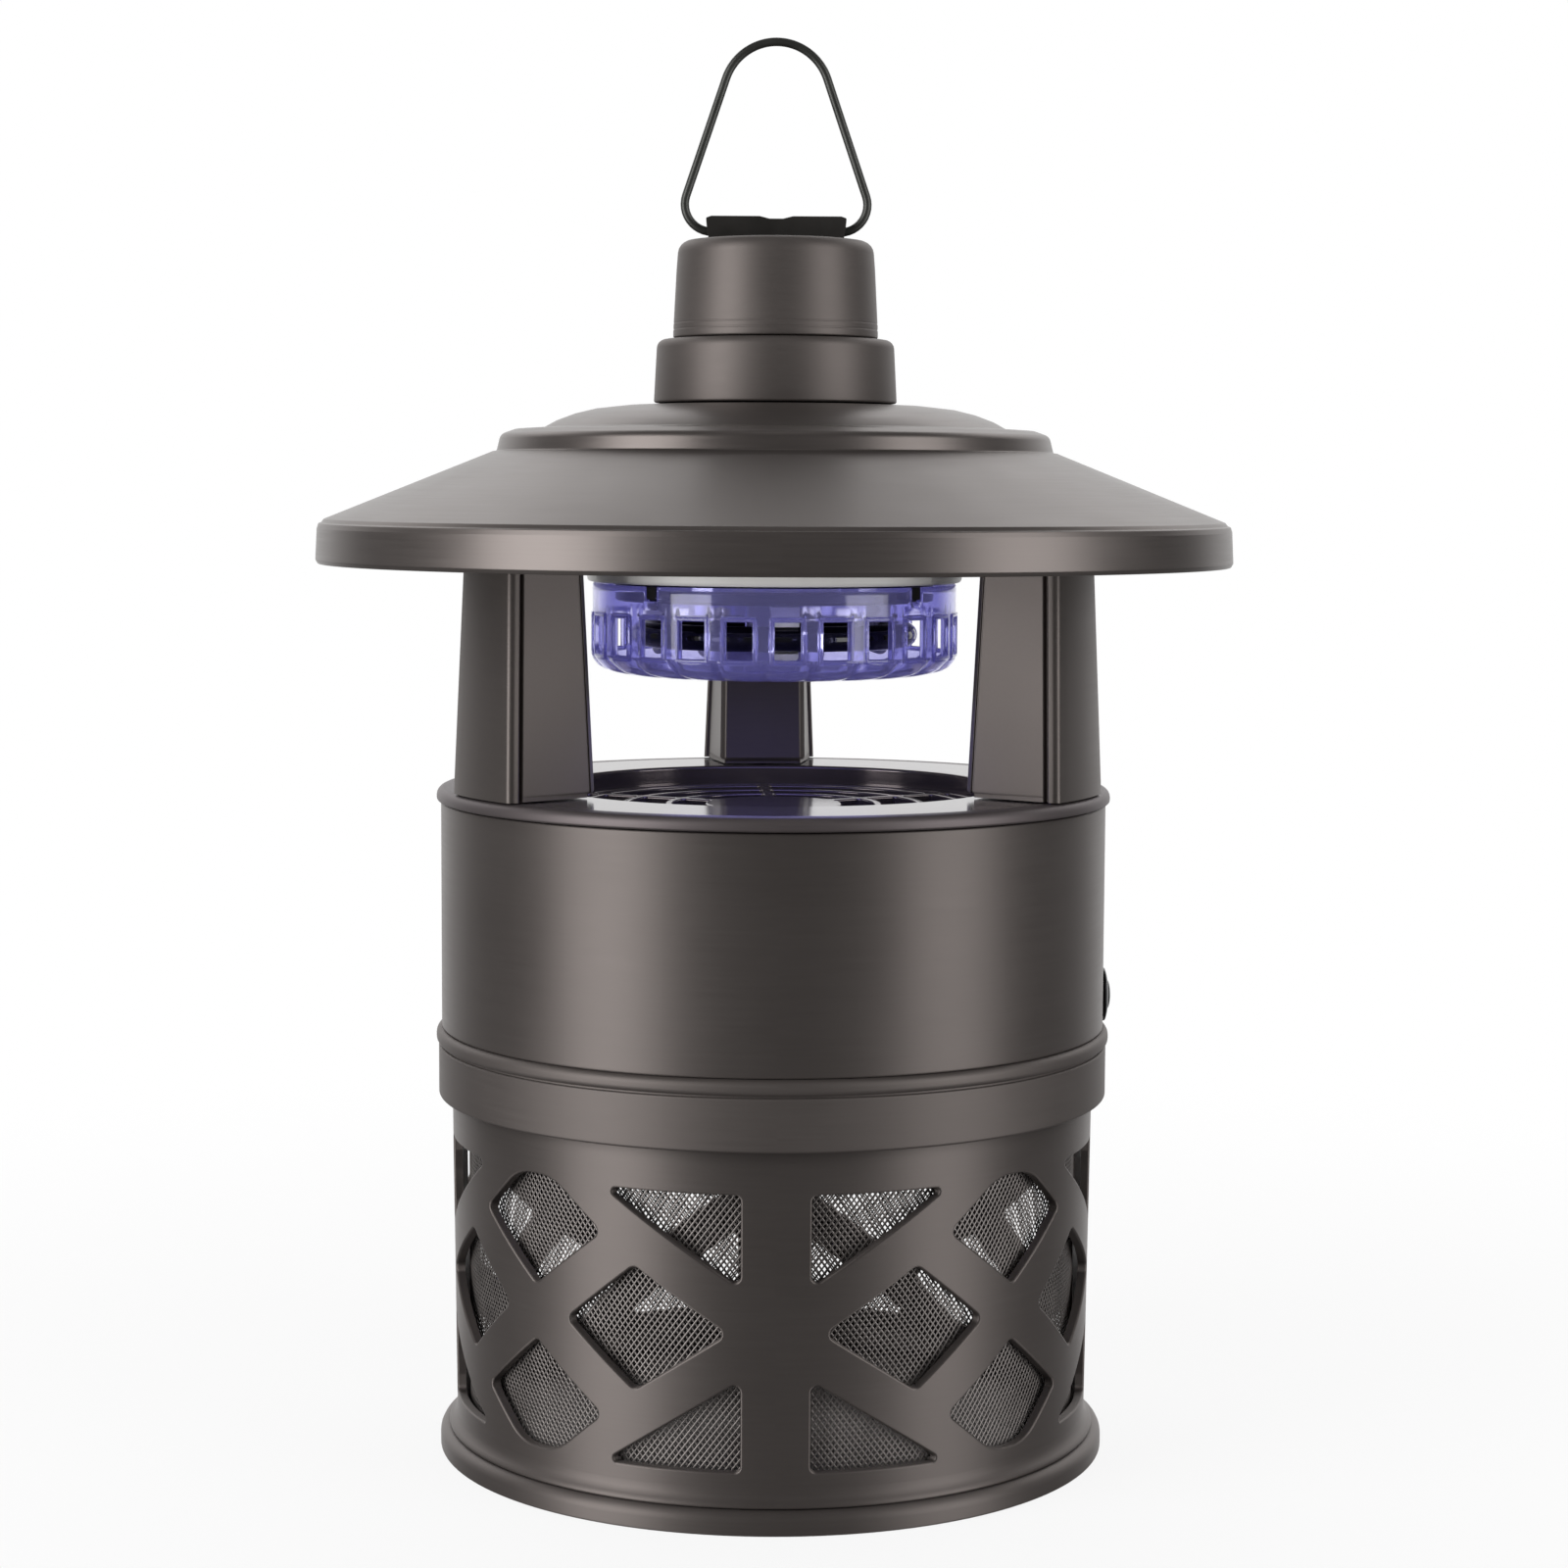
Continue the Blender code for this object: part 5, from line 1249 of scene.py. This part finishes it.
def make_bracket():
    """The loop's mount on the cap, dipped in the middle and bored for the wire's
    ends and the screw."""
    base = CAP_TOP + 0.3
    dip_half, dip = 3.7, 0.55
    half_depth = 4.2
    bore_start, bore_end = 7.5, 20.0
    screw_bore, screw_top = 2.0, 273.9
    front = rounded([(0.6 - BRACKET_HALF, base, 0.4), (BRACKET_HALF - 0.6, base, 0.4),
                     (BRACKET_HALF - 0.2, base + 2.4, 1.0), (BRACKET_HALF, BRACKET_TOP - 0.4, 0.4),
                     (BRACKET_HALF - 1.2, BRACKET_TOP, 0.8), (dip_half, BRACKET_TOP, 1.2),
                     (dip_half * 0.4, BRACKET_TOP - dip, 1.2), (-dip_half * 0.4, BRACKET_TOP - dip, 1.2),
                     (-dip_half, BRACKET_TOP, 1.2), (1.2 - BRACKET_HALF, BRACKET_TOP, 0.8),
                     (-BRACKET_HALF, BRACKET_TOP - 0.4, 0.4), (0.2 - BRACKET_HALF, base + 2.4, 1.0)])
    bracket = loft("loop_mount", [[Vector((x, depth, z)) for x, z in front]
                                  for depth in (-half_depth, half_depth)])
    bores = [disc(screw_bore, base - 2, screw_top)]
    for ends in ((-bore_end, -bore_start), (bore_start, bore_end)):
        bores.append([[Vector((p.z, p.x, p.y + PIVOT_HEIGHT)) for p in section]
                      for section in disc(WIRE_RADIUS + 0.35, *ends)])
    cut(bracket, finish_mesh("bores", blocks(bores)))
    keep(bevel(bracket, 0.35, 3), "dark", "head", "dark_steel", "loop_bracket")


def make_loop():
    """The wire: from its ends in the bracket round two small corners, up two
    straight sides and over a round arch."""
    corner = Vector((LOOP_CORNER_X, PIVOT_HEIGHT + LOOP_CORNER_RADIUS))
    arch = Vector((0, LOOP_TOP - WIRE_RADIUS - LOOP_ARCH_RADIUS))
    between = arch - corner
    lean = (math.atan2(between.y, between.x)
            - math.acos((LOOP_CORNER_RADIUS - LOOP_ARCH_RADIUS) / between.length))
    half = [Vector((BRACKET_HALF - 6.0, PIVOT_HEIGHT)), Vector((12.0, PIVOT_HEIGHT))]
    for step in range(13):
        angle = -math.pi / 2 + (lean + math.pi / 2) * step / 12
        half.append(corner + LOOP_CORNER_RADIUS * Vector((math.cos(angle), math.sin(angle))))
    for step in range(25):
        angle = lean + (math.pi / 2 - lean) * step / 24
        half.append(arch + LOOP_ARCH_RADIUS * Vector((math.cos(angle), math.sin(angle))))
    route = half + [Vector((-point.x, point.y)) for point in reversed(half[:-1])]
    sides = 16
    sections = []
    for index, point in enumerate(route):
        before = route[max(index - 1, 0)]
        after = route[min(index + 1, len(route) - 1)]
        along = (after - before).normalized()
        out = Vector((along.y, -along.x))
        ring = []
        for side in range(sides):
            angle = 2 * math.pi * side / sides
            flat = point + out * WIRE_RADIUS * math.cos(angle)
            ring.append(Vector((flat.x, WIRE_RADIUS * math.sin(angle), flat.y)))
        sections.append(ring)
    keep(loft("hanging_wire", sections), "wire", "loop", "dark_steel", "hang_loop")


# ------------------------------------------------------ carried-over solids

def paint_the_rest():
    """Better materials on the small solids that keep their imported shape."""
    wanted = {"motor_shaft": "steel", "switch_nut": "steel", "inlet_pin": "steel",
              "inlet_nut": "steel", "motor_bush_lower": "brass", "motor_bush_upper": "brass",
              "ballast_coil": "copper", "ballast_board": "board", "ballast_capacitor": "black",
              "neck_seal": "rubber", "board_standoff_1": "white", "board_standoff_2": "white",
              "inlet_lead": "lead", "motor_lead": "lead", "lamp_lead": "lead"}
    for name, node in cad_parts.items():
        if node.hide_render:
            continue
        node.data.materials.clear()
        node.data.materials.append(MATERIALS["steel" if "screw" in name else wanted[name]])


# ----------------------------------------------------------------- studio

VIEW_TURN = -1.0        # degrees about +Z from the front to the camera
CAMERA_PLACE = (0.00236, -0.7444, 0.2180)
CAMERA_TILT = 5.271
CAMERA_ROLL = 0.280
LENS = 76.36
ROOM_LIGHT = 0.11       # how bright the dim room looks in reflections
FLOOR_HEIGHT = -0.05


def make_camera():
    data = bpy.data.cameras.new("studio_camera")
    data.lens = LENS
    data.sensor_width = 36.0
    data.clip_start = 0.05
    data.clip_end = 20.0
    made = add_object("studio_camera", data)
    made.matrix_world = (Matrix.Rotation(math.radians(VIEW_TURN), 4, "Z")
                         @ Matrix.Translation(CAMERA_PLACE)
                         @ Matrix.Rotation(math.radians(90 - CAMERA_TILT), 4, "X")
                         @ Matrix.Rotation(math.radians(CAMERA_ROLL), 4, "Z"))
    bpy.context.scene.camera = made


def make_light(name, azimuth, distance, height, aim_height, width, tall, radiance,
               tint=(1, 1, 1)):
    """A soft box that faces the object, given by how bright its face looks. Its
    lengths are in metres."""
    data = bpy.data.lights.new(name, "AREA")
    data.shape = "RECTANGLE"
    data.size = width
    data.size_y = tall
    data.energy = radiance * math.pi * width * tall
    data.color = tint
    made = add_object(name, data)
    made.location = polar(distance, azimuth, height)
    aim = Vector((0, 0, aim_height)) - made.location
    made.rotation_euler = aim.to_track_quat("-Z", "Y").to_euler()
    made.visible_camera = False
    return made


def make_world():
    """White behind the object for the eye, and for reflections a bright
    backdrop low behind the object in a dim room."""
    world = bpy.data.worlds.new("studio")
    bpy.context.scene.world = world
    world.use_nodes = True
    nodes = Nodes(world.node_tree)
    nodes.tree.nodes.clear()
    split = nodes.add("ShaderNodeSeparateXYZ")
    nodes.link(nodes.add("ShaderNodeTexCoord").outputs["Generated"], split.inputs[0])
    height = split.outputs["Z"]
    smooth = {"interpolation_type": "SMOOTHSTEP"}
    backwards = nodes.math("MULTIPLY_ADD", height, 0.5, split.outputs["Y"])
    behind = nodes.ramp(backwards, 0.50, 0.85, 0.0, 1.0, **smooth)
    low_down = nodes.ramp(height, 0.62, 0.82, 1.0, 0.0, **smooth)
    brighter = nodes.ramp(height, 0.25, 0.65, 0.95, 2.0, **smooth)
    backdrop = nodes.math("MULTIPLY", nodes.math("MULTIPLY", behind, low_down), brighter)
    mix = nodes.add("ShaderNodeMix")
    nodes.link(nodes.add("ShaderNodeLightPath").outputs["Is Camera Ray"], mix.inputs["Factor"])
    nodes.link(nodes.math("ADD", backdrop, ROOM_LIGHT), mix.inputs["A"])
    mix.inputs["B"].default_value = 1.0
    background = nodes.add("ShaderNodeBackground")
    background.inputs["Color"].default_value = (1, 1, 1, 1)
    nodes.link(mix.outputs["Result"], background.inputs["Strength"])
    nodes.link(background.outputs[0], nodes.add("ShaderNodeOutputWorld").inputs["Surface"])


def make_floor():
    """A pale round floor that fades out into the backdrop."""
    rings = (0, 150, 300, 500, 700, 1000)
    floor = lathe("floor", [(radius, FLOOR_HEIGHT) for radius in rings], 96)
    nodes = Surface("pale_floor")
    nodes.feed(Alpha=nodes.ramp(nodes.length(nodes.place()), 0.08, 0.5, 0.12, 0.0,
                                interpolation_type="SMOOTHSTEP"),
               Base_Color=nodes.mix(nodes.noise(nodes.place(), 300.0), (0.93, 0.93, 0.93),
                                    (0.96, 0.96, 0.96)))
    nodes.set(Roughness=0.9, Specular_IOR_Level=0.1)
    floor.data.materials.append(nodes.material)


def make_studio():
    make_camera()
    make_world()
    make_floor()
    make_light("key_left", azimuth=-57, distance=1.3, height=0.35, aim_height=0.2, width=0.8,
               tall=1.6, radiance=4.4)
    make_light("key_right", azimuth=60, distance=1.3, height=0.35, aim_height=0.2, width=0.75,
               tall=1.6, radiance=2.9)
    make_light("overhead", azimuth=0, distance=0.05, height=1.5, aim_height=0.2, width=0.8,
               tall=0.8, radiance=0.25)
    glow = make_light("lamp_glow", azimuth=0, distance=0.012, aim_height=0.1, width=0.05,
                      tall=0.05, radiance=1.9, tint=(0.35, 0.33, 1.0),
                      height=(GUARD_BOTTOM - 2.0) * MILLIMETRE)
    glow.rotation_euler = (0, 0, 0)     # straight down
    bpy.context.scene.view_settings.view_transform = "Standard"


def main():
    make_cage_shell()
    make_screen()
    make_base()
    make_collar()
    make_shell()
    make_deck()
    make_grille()
    make_duct()
    make_motor()
    make_rotor()
    make_switch()
    make_inlet()
    make_posts()
    make_roof()
    make_carrier()
    make_lamp()
    make_guard()
    make_neck()
    make_bracket()
    make_loop()
    paint_the_rest()
    make_studio()


main()
